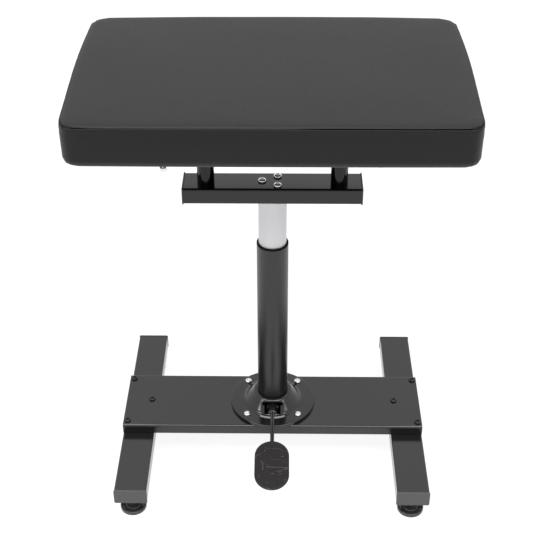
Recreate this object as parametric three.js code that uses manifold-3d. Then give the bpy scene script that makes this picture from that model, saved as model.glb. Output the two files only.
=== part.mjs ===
// Manicure armrest: a padded top on a gas-lift column with a foot pedal, on a two-legged steel base.
// Millimetres, +X to the right, +Y away from the user, +Z up, origin on the floor under the column.
import * as THREE from "three";
import { mergeVertices } from "three/addons/utils/BufferGeometryUtils.js";
import Module from "manifold-3d";

const wasm = await Module();
wasm.setup();

// Clearances and cuts
const seatGap = 0.3; // between faces that rest on each other
const runningGap = 0.3; // radial, round what turns, slides or is screwed in
const overrun = 1; // how far a cut runs past the face it opens
const weldTolerance = 0.001; // vertices closer than this are one

// How finely round things are cut
const columnSides = 32;
const turnedSides = 24;
const footSides = 20;
const cageSides = 16;
const screwSides = 12;
const ballSides = 6;
const curveSteps = 3; // of a fillet in a turned profile or a section
const crownSteps = 2; // of a small round edge
const cornerSteps = 2; // of a tube's or a plate's round corner
const leverSteps = 5; // of a lever's round end
const pedalSteps = 5; // of each round quarter of the pedal's outline

// Legs, of rectangular tube
const legLength = 380;
const legWidth = 50;
const legHeight = 25;
const legWall = 2;
const legCorner = 2.5;
const baseSpan = 484; // over the outer faces of both legs

// End caps of the legs
const legCapThickness = 2.5;
const legCapLip = 0.9; // how far the cap stands out round the tube
const legCapPlugDepth = 12;
const legCapPlugWall = 1.6;

// Levelling feet
const footHeight = 31; // floor to the underside of the legs
const footInset = 20; // from the end of the leg to the foot's axis
const footRadius = 20.4;
const footRimHeight = 7;
const footRimRound = 2.6;
const footSoleChamfer = 1.4;
const footDishDepth = 1.4;
const footHubFlare = 2.2; // how far the hub spreads where it meets the dish
const footHubRadius = 9.5;
const footHubCrown = 3.6; // radius lost over the hub's round shoulder
const footHubHeight = 19;
const footSocketFloor = 9;
const studRadius = 4;
const studCollarRadius = 7.5;
const studCollarHeight = 7;
const studTopClearance = 8; // from the stud's end to the leg's upper wall
const weldNutRadius = 7.5;
const weldNutHeight = 8;

// Base plate, a folded channel across the legs
const channelDepth = 126;
const channelHeight = 17;
const channelSheet = 2.5;
const channelBend = 4;
const channelHoleRadius = 10; // the release mechanism is reached through it from below
const spacerRadius = 5.5;

// Screws of the legs: two near each end of the channel and one over the leg's inner edge
const legScrewRadius = 3;
const legScrewHeadRadius = 5.2;
const legScrewHeadHeight = 3.3;
const legScrewOuterInset = 7; // from the channel's end
const legScrewInnerInset = 8; // from the leg's inner face
const legScrewSpread = 104; // between the front and the rear one
const legScrewReach = 10; // below the leg's upper wall

// Column housing, a casting with a flange, a conical body and a spigot for the sleeve
const flangeRadius = 69;
const flangeThickness = 5;
const flangeChamfer = 1.2;
const domeFootRadius = 46.5;
const domeTopRadius = 29.5;
const domeHeight = 21; // from the flange's face to the lip
const domeFillet = 4;
const domeWall = 5;
const lipRound = 2;
const lipHeight = 1.8; // of the lip above the seat of the sleeve
const webThickness = 6;
const spigotHeight = 17;
const spigotWall = 4.5;

// Screws of the housing's flange
const flangeScrewCircle = 116; // diameter
const flangeScrewRadius = 3;
const flangeScrewHeadRadius = 5.4;
const flangeScrewHeadHeight = 3.6;
const flangeNutRadius = 5.6;
const flangeNutHeight = 5;

// Window of the housing, with a fork of two lugs for the pedal's pivot
const frameDepth = 1.4; // of the frame's flat face behind the cone's foremost line
const frameWidth = 2;
const frameReach = 7.5; // of the frame and the window into the cone's wall
const windowWidth = 35;
const windowHeight = 20; // up the slope of the cone
const windowCorner = 3;
const lugThickness = 2.5;
const lugDrop = 14; // of the lugs below the web
const lugDepth = 17;
const pivotInset = 31; // from the column's axis to the pivot
const pivotDrop = 6.2; // of the pivot below the web
const pivotRadius = 2.5;
const pivotHeadRadius = 4.2;
const pivotHeadThickness = 1.6;
const pivotEndLength = 2.6; // of the pin past the lug, where its clip sits

// Column sleeve and lift tube
const sleeveRadius = 24;
const sleeveWall = 1.5;
const sleeveLength = 288;
const collarLip = 2.4; // height of the guide collar's lip on the sleeve's end
const collarLength = 26; // of the guide collar inside the sleeve
const liftTubeRadius = 21;
const liftTubeWall = 1.5;
const liftTubeLength = 268;
const liftTubeShown = 79.5; // between the guide collar and the crossbar, as photographed
const tubePlateThickness = 8;
const guideRingFlange = 4;
const guideRingSpigot = 10;
const guideRingWall = 1.8;

// Gas spring: its cylinder goes up with the tube, and its hollow rod stands in the housing
const cylinderRadius = 14;
const cylinderWall = 1.8;
const cylinderFootInset = 4; // of the cylinder's lower end behind the tube's
const cylinderGuideLength = 12;
const cylinderHeadLength = 5;
const cylinderStudRadius = 4;
const cylinderStudLength = 6;
const rodRadius = 6;
const rodJournalRadius = 5;
const rodCollarRadius = 9;
const rodCollarHeight = 5;
const rodTailLength = 1; // of the rod below its clip
const rodLength = 266;
const rodTipRadius = 4;
const rodTipLength = 20;
const pistonHeight = 16;
const valveBoreRadius = 2.1;
const valvePinRadius = 1.8;
const valvePinReach = 225; // of the release pin inside the rod
const valvePinOut = 5.2; // of the release pin below the rod
const valveTravelRoom = 8;
const clipThickness = 1.3;
const clipRadius = 8;

// Thrust bearing under the rod's collar
const raceRadius = 15;
const raceThickness = 1.8;
const ballRadius = 2;
const ballCount = 8;
const cageThickness = 1.6;
const cageBand = 3.4;

// Pedal
const leverHalfWidth = 4;
const leverHubRadius = 6;
const leverNoseRadius = 4.5;
const leverNoseDrop = 0.9; // room for the lever's sloping top under the release pin
const leverStubRadius = 4;
const leverStubLength = 14;
const leverStubRise = 2.4;
const pedalRodRadius = 3.25;
const pedalRodSteps = 14;
const pedalWidth = 54;
const pedalLength = 87;
const pedalThickness = 5;
const pedalEdge = 1.2;
const pedalTilt = 13; // degrees
const pedalReach = 148.7; // from the column's axis to the pad's middle
const pedalHeight = 70; // of the pad's middle above the floor

// Crossbar of rectangular tube, with its caps and screws
const barLength = 256;
const barDepth = 50;
const barHeight = 25;
const barWall = 2;
const barCorner = 2;
const barCapThickness = 2;
const barCapLip = 0.9;
const barCapPlugDepth = 12;
const barCapPlugWall = 1.6;
const barScrewCircle = 30; // diameter
const barScrewCount = 3;
const barScrewRadius = 3;
const barScrewHeadRadius = 6;
const barScrewHeadHeight = 3.6;
const barScrewGrip = 7; // into the lift tube's plate

// Posts and rails that carry the cushion
const postRadius = 12.5;
const postWall = 1.5;
const postLength = 112;
const postInset = 31.5; // from the crossbar's end to the post's axis
const railThickness = 4;
const crossRailWidth = 30;
const crossRailOverhang = 1.5; // past the outer edges of the side rails
const sideRailWidth = 25;
const sideRailLength = 322;
const sideRailSpacing = 278;

// Cushion
const cushionLength = 538;
const cushionDepth = 356;
const cushionHeight = 59;
const cushionCorner = 20;
const cushionBow = 5; // how far the middle of each side stands out past its ends
const seamHeight = 55; // of the seam between the sides and the top panel
const seamRound = 2; // between the widest line of the sides and the seam
const sideTaper = 1.5; // how far the sides draw in from there to the bottom
const lowerRound = 5; // of the edge under the board
const crownRound = 14; // depth of the band by the seam in which most of the crown rises
const crownWidth = 110; // from the seam to where the top is level
const coverThickness = 1.2;
const coverWrap = 12; // width of the cover's turn-in under the board
const boardThickness = 12;
const cushionCornerSteps = 5;
const cushionSideSteps = 4;

// Bolts that hold the rails to the board
const boltRadius = 2.5;
const boltHeadRadius = 4.25;
const boltHeadHeight = 5;
const boltSpacing = 306; // between the front and the rear bolts
const boltGrip = 10; // into the board
const proudBoltDrop = 7; // the front left bolt isn't screwed home

// Sockets of the screws, as shares of the head that they are cut in
const socketWidthShare = 0.42;
const socketDepthShare = 0.6;
const headCrownShare = 0.45; // height of a button head's upright edge
const headTopShare = 0.55; // radius of its flat top

// Heights and places that follow from the sizes above
const legX = baseSpan / 2 - legWidth / 2;
const footY = legLength / 2 - footInset;
const legTop = footHeight + legHeight;
const channelBottom = legTop + seatGap;
const channelTop = channelBottom + channelHeight;
const flangeBottom = channelTop + seatGap;
const flangeTop = flangeBottom + flangeThickness;
const lipTop = flangeTop + domeHeight;
const webTop = lipTop - lipHeight; // the sleeve's seat
const webBottom = webTop - webThickness;
const sleeveBottom = webTop + seatGap;
const sleeveTop = sleeveBottom + sleeveLength;
const collarTop = sleeveTop + seatGap + collarLip;
const barBottom = collarTop + liftTubeShown;
const barTop = barBottom + barHeight;
const liftTubeTop = barBottom - seatGap;
const liftTubeBottom = liftTubeTop - liftTubeLength;
const postBottom = barTop + seatGap;
const crossRailBottom = postBottom + postLength + seatGap;
const sideRailBottom = crossRailBottom + railThickness + seatGap;
const cushionBottom = sideRailBottom + railThickness + seatGap;
const boardBottom = cushionBottom + coverThickness + seatGap;
const sleeveBore = sleeveRadius - sleeveWall;
const collarBore = liftTubeRadius + runningGap;
const journalBore = rodJournalRadius + runningGap;

// Shapes and solids

/** A closed three.js geometry as a solid that can be joined and cut. */
function solid(geometry) {
  const plain = geometry.index ? geometry.toNonIndexed() : geometry.clone();
  plain.deleteAttribute("normal");
  plain.deleteAttribute("uv");
  const merged = mergeVertices(plain, weldTolerance);
  return new wasm.Manifold(
    new wasm.Mesh({
      numProp: 3,
      vertProperties: merged.attributes.position.array,
      triVerts: new Uint32Array(merged.index.array),
    }),
  );
}

/** A solid back as a three.js geometry. */
function geometryOf(body) {
  const mesh = body.getMesh();
  const geometry = new THREE.BufferGeometry();
  geometry.setAttribute("position", new THREE.BufferAttribute(mesh.vertProperties, 3));
  geometry.setIndex(new THREE.BufferAttribute(mesh.triVerts, 1));
  geometry.computeVertexNormals();
  return geometry;
}

/** The first solid with all the others joined to it. */
function join(first, ...others) {
  return others.reduce((whole, part) => whole.add(part), first);
}

/** The first solid with all the others cut out of it. */
function cut(first, ...others) {
  return others.reduce((whole, part) => whole.subtract(part), first);
}

/** A block between two values on each axis. */
function block([x0, x1], [y0, y1], [z0, z1]) {
  const geometry = new THREE.BoxGeometry(x1 - x0, y1 - y0, z1 - z0);
  return solid(geometry.translate((x0 + x1) / 2, (y0 + y1) / 2, (z0 + z1) / 2));
}

/** An upright cylinder. */
function upright(radius, [z0, z1], sides, x = 0, y = 0) {
  const geometry = new THREE.CylinderGeometry(radius, radius, z1 - z0, sides);
  return solid(geometry.rotateX(Math.PI / 2).translate(x, y, (z0 + z1) / 2));
}

/** A cylinder along X. */
function crosswise(radius, [x0, x1], sides, y, z) {
  const geometry = new THREE.CylinderGeometry(radius, radius, x1 - x0, sides);
  return solid(geometry.rotateZ(Math.PI / 2).translate((x0 + x1) / 2, y, z));
}

/** A profile of [radius, height] points turned round Z. It runs up the outside, and a ring's closes. */
function turned(profile, sides) {
  const points = profile.map(([radius, height]) => new THREE.Vector2(radius, height));
  return solid(new THREE.LatheGeometry(points, sides).rotateX(Math.PI / 2));
}

/** A turned ring with a plain rectangular section. */
function ring(innerRadius, outerRadius, [z0, z1], sides) {
  const profile = [
    [innerRadius, z0],
    [outerRadius, z0],
    [outerRadius, z1],
    [innerRadius, z1],
    [innerRadius, z0],
  ];
  return turned(profile, sides);
}

/** Points of a rounded corner between two points of a profile. */
function rounded(before, corner, after, steps = curveSteps) {
  const [a, b, c] = [before, corner, after].map(([x, y]) => new THREE.Vector2(x, y));
  return new THREE.QuadraticBezierCurve(a, b, c).getPoints(steps).map((p) => [p.x, p.y]);
}

/** A rectangle with round corners, centred on the given point. */
function roundedRectangle(width, height, corner, [x, y] = [0, 0]) {
  const [left, right] = [x - width / 2, x + width / 2];
  const [low, high] = [y - height / 2, y + height / 2];
  const shape = new THREE.Shape();
  shape.absarc(right - corner, low + corner, corner, -Math.PI / 2, 0);
  shape.absarc(right - corner, high - corner, corner, 0, Math.PI / 2);
  shape.absarc(left + corner, high - corner, corner, Math.PI / 2, Math.PI);
  shape.absarc(left + corner, low + corner, corner, Math.PI, 1.5 * Math.PI);
  return shape;
}

/** The outline round two circles, as of a belt. */
function link([x0, y0], r0, [x1, y1], r1) {
  const along = Math.atan2(y1 - y0, x1 - x0);
  const spread = Math.acos((r0 - r1) / Math.hypot(x1 - x0, y1 - y0));
  const shape = new THREE.Shape();
  shape.absarc(x0, y0, r0, along + spread, along - spread + 2 * Math.PI);
  shape.absarc(x1, y1, r1, along - spread, along + spread);
  return shape;
}

/** A shape drawn in X and Z and drawn out along Y. */
function drawnAlongY(shape, [y0, y1], steps = cornerSteps) {
  const options = { depth: y1 - y0, bevelEnabled: false, curveSegments: steps };
  return solid(new THREE.ExtrudeGeometry(shape, options).rotateX(Math.PI / 2).translate(0, y1, 0));
}

/** A shape drawn in Y and Z and drawn out along X. */
function drawnAlongX(shape, [x0, x1], steps = cornerSteps) {
  const axes = new THREE.Matrix4().makeBasis(
    new THREE.Vector3(0, 1, 0),
    new THREE.Vector3(0, 0, 1),
    new THREE.Vector3(1, 0, 0),
  );
  const options = { depth: x1 - x0, bevelEnabled: false, curveSegments: steps };
  return solid(new THREE.ExtrudeGeometry(shape, options).applyMatrix4(axes).translate(x0, 0, 0));
}

/** A flat shape drawn in X and Y and drawn out along Z. */
function drawnUp(shape, [z0, z1], steps = cornerSteps) {
  const options = { depth: z1 - z0, bevelEnabled: false, curveSegments: steps };
  return solid(new THREE.ExtrudeGeometry(shape, options).translate(0, 0, z0));
}

// Finishes
const blackPaint = { color: 0x2b2b2d, roughness: 0.42, metalness: 0.1 };
const blackPlastic = { color: 0x222224, roughness: 0.55, metalness: 0 };
const capPlastic = { color: 0x3a3a3b, roughness: 0.6, metalness: 0 };
const blackRubber = { color: 0x2a282a, roughness: 0.75, metalness: 0 };
const silverTube = { color: 0xc9c9cb, roughness: 0.32, metalness: 0.75 };
const zincSteel = { color: 0xb9b9b6, roughness: 0.35, metalness: 0.9 };
const blackScrew = { color: 0x1c1c1d, roughness: 0.45, metalness: 0.6 };
const darkLeather = { color: 0x303031, roughness: 0.5, metalness: 0 };
const foam = { color: 0xd9d2bd, roughness: 0.95, metalness: 0 };
const plywood = { color: 0xb08d5f, roughness: 0.8, metalness: 0 };
const bearingSteel = { color: 0xa8abae, roughness: 0.25, metalness: 0.95 };

const armrest = new THREE.Group();

/** Adds one named piece to the armrest, at a place and a tilt about X. */
function place(name, body, finish, [x, y, z] = [0, 0, 0], tilt = 0) {
  const geometry = body instanceof THREE.BufferGeometry ? body : geometryOf(body);
  const mesh = new THREE.Mesh(geometry, new THREE.MeshStandardMaterial(finish));
  mesh.name = name;
  mesh.position.set(x, y, z);
  mesh.rotation.x = tilt;
  armrest.add(mesh);
}

const sides = [
  ["left", -1],
  ["right", 1],
];
const ends = [
  ["front", -1],
  ["rear", 1],
];

// Screws

/** A button-head screw with a hexagon socket: its head stands on z = 0 and its shank hangs below. */
function buttonScrew(radius, headRadius, headHeight, shankLength) {
  const edge = headHeight * headCrownShare;
  const top = headRadius * headTopShare;
  const profile = [
    [0, -shankLength],
    [radius, -shankLength],
    [radius, 0],
    [headRadius, 0],
    [headRadius, edge],
    [top, headHeight],
    [0, headHeight],
  ];
  const socketFloor = headHeight * (1 - socketDepthShare);
  const socket = upright(headRadius * socketWidthShare, [socketFloor, headHeight + overrun], 6);
  return geometryOf(cut(turned(profile, screwSides), socket));
}

// Base: legs, caps, feet, base plate

/** Where each leg's screws go through the channel, as [name, x, y], for one side. */
function legScrewPlaces(side) {
  const outer = side * (baseSpan / 2 - legScrewOuterInset);
  const inner = side * (baseSpan / 2 - legWidth + legScrewInnerInset);
  return [
    ["front", outer, -legScrewSpread / 2],
    ["rear", outer, legScrewSpread / 2],
    ["inner", inner, 0],
  ];
}

/** A rectangular tube along Y, centred on X, standing on z = 0. */
function rectangularTubeAlongY(width, height, wall, corner, length) {
  const span = [-length / 2, length / 2];
  const middle = [0, height / 2];
  const outer = drawnAlongY(roundedRectangle(width, height, corner, middle), span);
  const hollow = [width - 2 * wall, height - 2 * wall];
  const inside = block(
    [-hollow[0] / 2, hollow[0] / 2],
    [span[0] - overrun, span[1] + overrun],
    [wall, wall + hollow[1]],
  );
  return cut(outer, inside);
}

/** One leg, with the nuts of its feet welded in and its screw holes. */
function leg(side) {
  let body = rectangularTubeAlongY(legWidth, legHeight, legWall, legCorner, legLength);
  for (const y of [-footY, footY]) {
    const nut = upright(weldNutRadius, [legWall / 2, legWall + weldNutHeight], 6, 0, y);
    const bore = [-overrun, legWall + weldNutHeight + overrun];
    body = cut(join(body, nut), upright(studRadius + runningGap, bore, screwSides, 0, y));
  }
  for (const [, x, y] of legScrewPlaces(side)) {
    const hole = [legHeight - legWall - overrun, legHeight + overrun];
    body = cut(body, upright(legScrewRadius + runningGap, hole, screwSides, x - side * legX, y));
  }
  return body;
}

/** A cap for the end of a rectangular tube: its plate faces -Y, and its hollow plug goes in along +Y. */
function tubeCap(width, height, wall, corner, lip, thickness, plugDepth, plugWall) {
  const plate = drawnAlongY(
    roundedRectangle(width + 2 * lip, height + 2 * lip, corner + lip, [0, height / 2]),
    [-thickness, 0],
  );
  const plugWidth = width - 2 * wall - 2 * seatGap;
  const plugHeight = height - 2 * wall - 2 * seatGap;
  const low = wall + seatGap;
  const plug = block([-plugWidth / 2, plugWidth / 2], [-overrun, plugDepth], [low, low + plugHeight]);
  const hollow = block(
    [-plugWidth / 2 + plugWall, plugWidth / 2 - plugWall],
    [0, plugDepth + overrun],
    [low + plugWall, low + plugHeight - plugWall],
  );
  return join(plate, cut(plug, hollow));
}

/** A round foot with a raised rim and a hub, with a socket for its stud. */
function footPad() {
  const rim = footRimHeight;
  const dish = rim - footDishDepth;
  const rimEdge = [
    [footRadius, rim - footRimRound],
    [footRadius, rim],
    [footRadius - footRimRound, rim],
  ];
  const shoulder = [
    [footHubRadius, rim + footRimRound],
    [footHubRadius, footHubHeight],
    [footHubRadius - footHubCrown, footHubHeight],
  ];
  const profile = [
    [0, 0],
    [footRadius - footSoleChamfer, 0],
    [footRadius, footSoleChamfer],
    ...rounded(...rimEdge, crownSteps),
    [footHubRadius + footHubFlare, dish],
    [footHubRadius, dish + footHubFlare],
    ...rounded(...shoulder),
    [0, footHubHeight],
  ];
  const socket = upright(studRadius + runningGap, [footSocketFloor, footHubHeight + overrun], screwSides);
  return cut(turned(profile, footSides), socket);
}

/** The threaded stud of a foot, with the hexagon collar that turns it. */
function footStud() {
  const top = legTop - legWall - studTopClearance;
  const collarBottom = footHubHeight + seatGap;
  const shank = upright(studRadius, [footSocketFloor + seatGap, top], screwSides);
  return join(shank, upright(studCollarRadius, [collarBottom, collarBottom + studCollarHeight], 6));
}

/** The folded channel across the legs, with its spacer bushes, welded nuts and holes. */
function basePlate() {
  const [half, height, sheet] = [channelDepth / 2, channelHeight, channelSheet];
  const inside = channelBend - channelSheet;
  const outer = [
    [-half, 0],
    ...rounded([-half, height - channelBend], [-half, height], [-half + channelBend, height]),
    ...rounded([half - channelBend, height], [half, height], [half, height - channelBend]),
    [half, 0],
  ];
  const wall = half - sheet;
  const roof = height - sheet;
  const inner = [
    [wall, 0],
    ...rounded([wall, roof - inside], [wall, roof], [wall - inside, roof]),
    ...rounded([-wall + inside, roof], [-wall, roof], [-wall, roof - inside]),
    [-wall, 0],
  ];
  const section = new THREE.Shape([...outer, ...inner].map(([y, z]) => new THREE.Vector2(y, z)));
  let body = drawnAlongX(section, [-baseSpan / 2, baseSpan / 2]);
  const places = sides.flatMap(([, side]) => legScrewPlaces(side));
  for (const [, x, y] of places) {
    body = join(body, upright(spacerRadius, [0, roof + sheet / 2], screwSides, x, y));
  }
  for (const [x, y] of flangeScrewPlaces()) {
    const nut = upright(flangeNutRadius, [roof - flangeNutHeight, roof + sheet / 2], 6, x, y);
    body = join(body, nut);
  }
  const through = [-overrun, height + overrun];
  for (const [, x, y] of places) {
    body = cut(body, upright(legScrewRadius + runningGap, through, screwSides, x, y));
  }
  for (const [x, y] of flangeScrewPlaces()) {
    body = cut(body, upright(flangeScrewRadius + runningGap, through, screwSides, x, y));
  }
  return cut(body, upright(channelHoleRadius, through, turnedSides));
}

/** Where the four screws of the housing's flange stand. */
function flangeScrewPlaces() {
  const offset = (flangeScrewCircle / 2) * Math.SQRT1_2;
  return [
    [-offset, -offset],
    [offset, -offset],
    [-offset, offset],
    [offset, offset],
  ];
}

function addBase() {
  const capSizes = [legWidth, legHeight, legWall, legCorner, legCapLip, legCapThickness];
  const cap = tubeCap(...capSizes, legCapPlugDepth, legCapPlugWall);
  const [pad, stud] = [geometryOf(footPad()), geometryOf(footStud())];
  const screwLength = channelHeight + seatGap + legScrewReach;
  const screw = buttonScrew(legScrewRadius, legScrewHeadRadius, legScrewHeadHeight, screwLength);
  for (const [sideName, side] of sides) {
    place(`${sideName}_leg`, leg(side), blackPaint, [side * legX, 0, footHeight]);
    for (const [endName, end] of ends) {
      const name = `${endName}_${sideName}`;
      const capGeometry = geometryOf(cap);
      if (end > 0) capGeometry.rotateZ(Math.PI);
      const capY = end * (legLength / 2 + seatGap);
      place(`${name}_leg_cap`, capGeometry, capPlastic, [side * legX, capY, footHeight]);
      place(`${name}_foot`, pad, blackRubber, [side * legX, end * footY, 0]);
      place(`${name}_foot_stud`, stud, zincSteel, [side * legX, end * footY, 0]);
    }
    for (const [which, x, y] of legScrewPlaces(side)) {
      place(`${sideName}_leg_screw_${which}`, screw, blackScrew, [x, y, channelTop + seatGap]);
    }
  }
  place("base_plate", basePlate(), blackPaint, [0, 0, channelBottom]);
}

// Column housing and sleeve

/** Radius of the housing's cone at a height over the floor. */
function domeRadiusAt(z) {
  const share = (z - flangeTop) / domeHeight;
  return domeFootRadius + (domeTopRadius - domeFootRadius) * share;
}

/** A cutter laid on the cone's front slope: a shape in X and up the slope, from one depth to another. */
function slopeCutter(shape, [low, high]) {
  const slope = Math.atan2(domeHeight, domeFootRadius - domeTopRadius);
  const middle = (flangeTop + lipTop) / 2;
  const options = { depth: high - low, bevelEnabled: false, curveSegments: cornerSteps };
  const geometry = new THREE.ExtrudeGeometry(shape, options).translate(0, 0, low);
  return solid(geometry.rotateX(slope).translate(0, -domeRadiusAt(middle), middle));
}

/** The cast housing. */
function columnHousing() {
  const slope = Math.atan2(domeHeight, domeFootRadius - domeTopRadius);
  const fillet = [domeFillet * Math.cos(slope), domeFillet * Math.sin(slope)];
  const wallAcross = domeWall / Math.sin(slope);
  const lipShare = lipRound / domeHeight;
  const cavityFoot = domeRadiusAt(flangeBottom) - wallAcross;
  const outer = [
    [flangeRadius, flangeBottom],
    [flangeRadius, flangeTop - flangeChamfer],
    [flangeRadius - flangeChamfer, flangeTop],
    ...rounded(
      [domeFootRadius + domeFillet, flangeTop],
      [domeFootRadius, flangeTop],
      [domeFootRadius - fillet[0], flangeTop + fillet[1]],
    ),
    ...rounded(
      [domeRadiusAt(lipTop - domeHeight * lipShare), lipTop - lipRound],
      [domeTopRadius, lipTop],
      [domeTopRadius - lipRound, lipTop],
      crownSteps,
    ),
  ];
  const spigotRadius = sleeveBore - runningGap;
  const inner = [
    [sleeveRadius + runningGap, lipTop],
    [sleeveRadius + runningGap, webTop],
    [spigotRadius, webTop],
    [spigotRadius, webTop + spigotHeight],
    [spigotRadius - spigotWall, webTop + spigotHeight],
    [spigotRadius - spigotWall, webTop],
    [journalBore, webTop],
    [journalBore, webBottom],
    [domeRadiusAt(webBottom) - wallAcross, webBottom],
    [cavityFoot, flangeBottom],
  ];
  const profile = [[cavityFoot, flangeBottom], ...outer, ...inner];
  const lugNear = leverHalfWidth + runningGap;
  const lugFar = lugNear + lugThickness;
  const lugY = [-pivotInset - lugDepth / 2, -pivotInset + lugDepth / 2];
  const lugZ = [webBottom - lugDrop, webBottom + overrun];
  let body = turned(profile, columnSides);
  const window = roundedRectangle(windowWidth, windowHeight, windowCorner);
  const edge = 2 * frameWidth;
  const frame = roundedRectangle(windowWidth + edge, windowHeight + edge, windowCorner + frameWidth);
  body = join(body, slopeCutter(frame, [-frameReach, -frameDepth]));
  body = cut(body, slopeCutter(window, [-frameReach - overrun, domeWall]));
  body = join(body, block([-lugFar, -lugNear], lugY, lugZ), block([lugNear, lugFar], lugY, lugZ));
  const pinHole = pivotRadius + runningGap;
  const acrossLugs = [-lugFar - overrun, lugFar + overrun];
  body = cut(body, crosswise(pinHole, acrossLugs, screwSides, -pivotInset, pivotZ));
  body = cut(body, slopeCutter(frame, [-frameDepth, 2 * domeWall]));
  const through = [flangeBottom - overrun, flangeTop + overrun];
  for (const [x, y] of flangeScrewPlaces()) {
    body = cut(body, upright(flangeScrewRadius + runningGap, through, screwSides, x, y));
  }
  return body;
}

/** The guide collar in the sleeve's upper end. */
function sleeveCollar() {
  const outerRadius = sleeveBore - runningGap;
  const lipFoot = sleeveTop + seatGap;
  const lipEdge = [
    [sleeveRadius, lipFoot + collarLip / 3],
    [sleeveRadius, collarTop],
    [collarBore + sleeveWall, collarTop],
  ];
  const profile = [
    [collarBore, sleeveTop - collarLength],
    [outerRadius, sleeveTop - collarLength],
    [outerRadius, lipFoot],
    [sleeveRadius, lipFoot],
    ...rounded(...lipEdge, crownSteps),
    [collarBore, collarTop],
    [collarBore, sleeveTop - collarLength],
  ];
  return turned(profile, columnSides);
}

function addColumn() {
  place("column_housing", columnHousing(), blackPaint);
  const screwLength = flangeThickness + seatGap + channelSheet + flangeNutHeight;
  const screw = buttonScrew(flangeScrewRadius, flangeScrewHeadRadius, flangeScrewHeadHeight, screwLength);
  flangeScrewPlaces().forEach(([x, y], index) => {
    const name = `${ends[index >> 1][0]}_${sides[index % 2][0]}_flange_screw`;
    place(name, screw, zincSteel, [x, y, flangeTop + seatGap]);
  });
  const sleeve = ring(sleeveBore, sleeveRadius, [sleeveBottom, sleeveTop], columnSides);
  place("column_sleeve", sleeve, blackPaint);
  place("sleeve_collar", sleeveCollar(), blackPlastic);
}

// Thrust bearing, gas spring and lift tube
const raceBottom = webTop + seatGap;
const ballMiddle = raceBottom + raceThickness + seatGap + ballRadius;
const upperRaceBottom = ballMiddle + ballRadius + seatGap;
const rodCollarBottom = upperRaceBottom + raceThickness + seatGap;
const clipTop = webBottom - seatGap;
const rodBottom = clipTop - clipThickness - rodTailLength;
const rodTop = rodBottom + rodLength;
const pistonTop = rodTop - seatGap;
const cylinderBore = cylinderRadius - cylinderWall;
const cylinderBottom = liftTubeBottom + cylinderFootInset;
const cylinderTop = liftTubeTop - tubePlateThickness - seatGap;

/** The balls of the thrust bearing in their cage. */
function ballCage() {
  const ballCircle = (raceRadius + journalBore) / 2;
  const band = [ballCircle - cageBand / 2, ballCircle + cageBand / 2];
  const half = cageThickness / 2;
  let body = ring(band[0], band[1], [ballMiddle - half, ballMiddle + half], cageSides);
  for (let index = 0; index < ballCount; index += 1) {
    const angle = (index / ballCount) * 2 * Math.PI;
    const [x, y] = [ballCircle * Math.cos(angle), ballCircle * Math.sin(angle)];
    const ball = new THREE.SphereGeometry(ballRadius, ballSides, ballSides - 2);
    body = join(body, solid(ball.rotateX(Math.PI / 2).translate(x, y, ballMiddle)));
  }
  return body;
}

/** The gas spring's hollow rod: journal, collar, rod and the tip that holds the piston. */
function pistonRod() {
  const profile = [
    [0, rodBottom],
    [rodJournalRadius, rodBottom],
    [rodJournalRadius, rodCollarBottom],
    [rodCollarRadius, rodCollarBottom],
    [rodCollarRadius, rodCollarBottom + rodCollarHeight],
    [rodRadius, rodCollarBottom + rodCollarHeight],
    [rodRadius, rodTop - rodTipLength],
    [rodTipRadius, rodTop - rodTipLength],
    [rodTipRadius, rodTop],
    [0, rodTop],
  ];
  const groove = ring(
    rodJournalRadius - rodTailLength,
    rodJournalRadius + overrun,
    [clipTop - clipThickness - seatGap / 2, clipTop + seatGap / 2],
    turnedSides,
  );
  const boreSpan = [rodBottom - overrun, rodBottom + valvePinReach + valveTravelRoom];
  const bore = upright(valveBoreRadius, boreSpan, screwSides);
  return cut(turned(profile, turnedSides), groove, bore);
}

/** The clip that snaps into the rod's groove under the web. */
function rodClip() {
  const inner = rodJournalRadius - rodTailLength + runningGap;
  const low = clipTop - clipThickness;
  const halfMouth = inner * Math.SQRT1_2;
  const through = [low - overrun, clipTop + overrun];
  const mouth = block([-halfMouth, halfMouth], [0, clipRadius + overrun], through);
  return cut(ring(inner, clipRadius, [low, clipTop], turnedSides), mouth);
}

/** The cylinder of the gas spring, with its rod guide and its upper stud. */
function gasCylinder() {
  const rodBore = rodRadius + runningGap;
  const profile = [
    [rodBore, cylinderBottom],
    [cylinderRadius, cylinderBottom],
    [cylinderRadius, cylinderTop],
    [cylinderStudRadius, cylinderTop],
    [cylinderStudRadius, cylinderTop + cylinderStudLength],
    [0, cylinderTop + cylinderStudLength],
  ];
  const hollow = [
    [0, cylinderTop - cylinderHeadLength],
    [cylinderBore, cylinderTop - cylinderHeadLength],
    [cylinderBore, cylinderBottom + cylinderGuideLength],
    [rodBore, cylinderBottom + cylinderGuideLength],
    [rodBore, cylinderBottom],
  ];
  return turned([...profile, ...hollow], turnedSides);
}

/** Where the crossbar's screws stand round the column's axis. */
function barScrewPlaces() {
  return Array.from({ length: barScrewCount }, (_, index) => {
    const angle = Math.PI + (index / barScrewCount) * 2 * Math.PI;
    return [(barScrewCircle / 2) * Math.cos(angle), (barScrewCircle / 2) * Math.sin(angle)];
  });
}

/** The lift tube, with the drilled plate that is welded into its upper end. */
function liftTube() {
  const bore = liftTubeRadius - liftTubeWall;
  const plateBottom = liftTubeTop - tubePlateThickness;
  const tube = ring(bore, liftTubeRadius, [liftTubeBottom, liftTubeTop], columnSides);
  let body = join(tube, upright(bore + liftTubeWall / 2, [plateBottom, liftTubeTop], columnSides));
  const through = [plateBottom - overrun, liftTubeTop + overrun];
  for (const [x, y] of barScrewPlaces()) {
    body = cut(body, upright(barScrewRadius + runningGap, through, screwSides, x, y));
  }
  return cut(body, upright(cylinderStudRadius + runningGap, through, screwSides));
}

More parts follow.
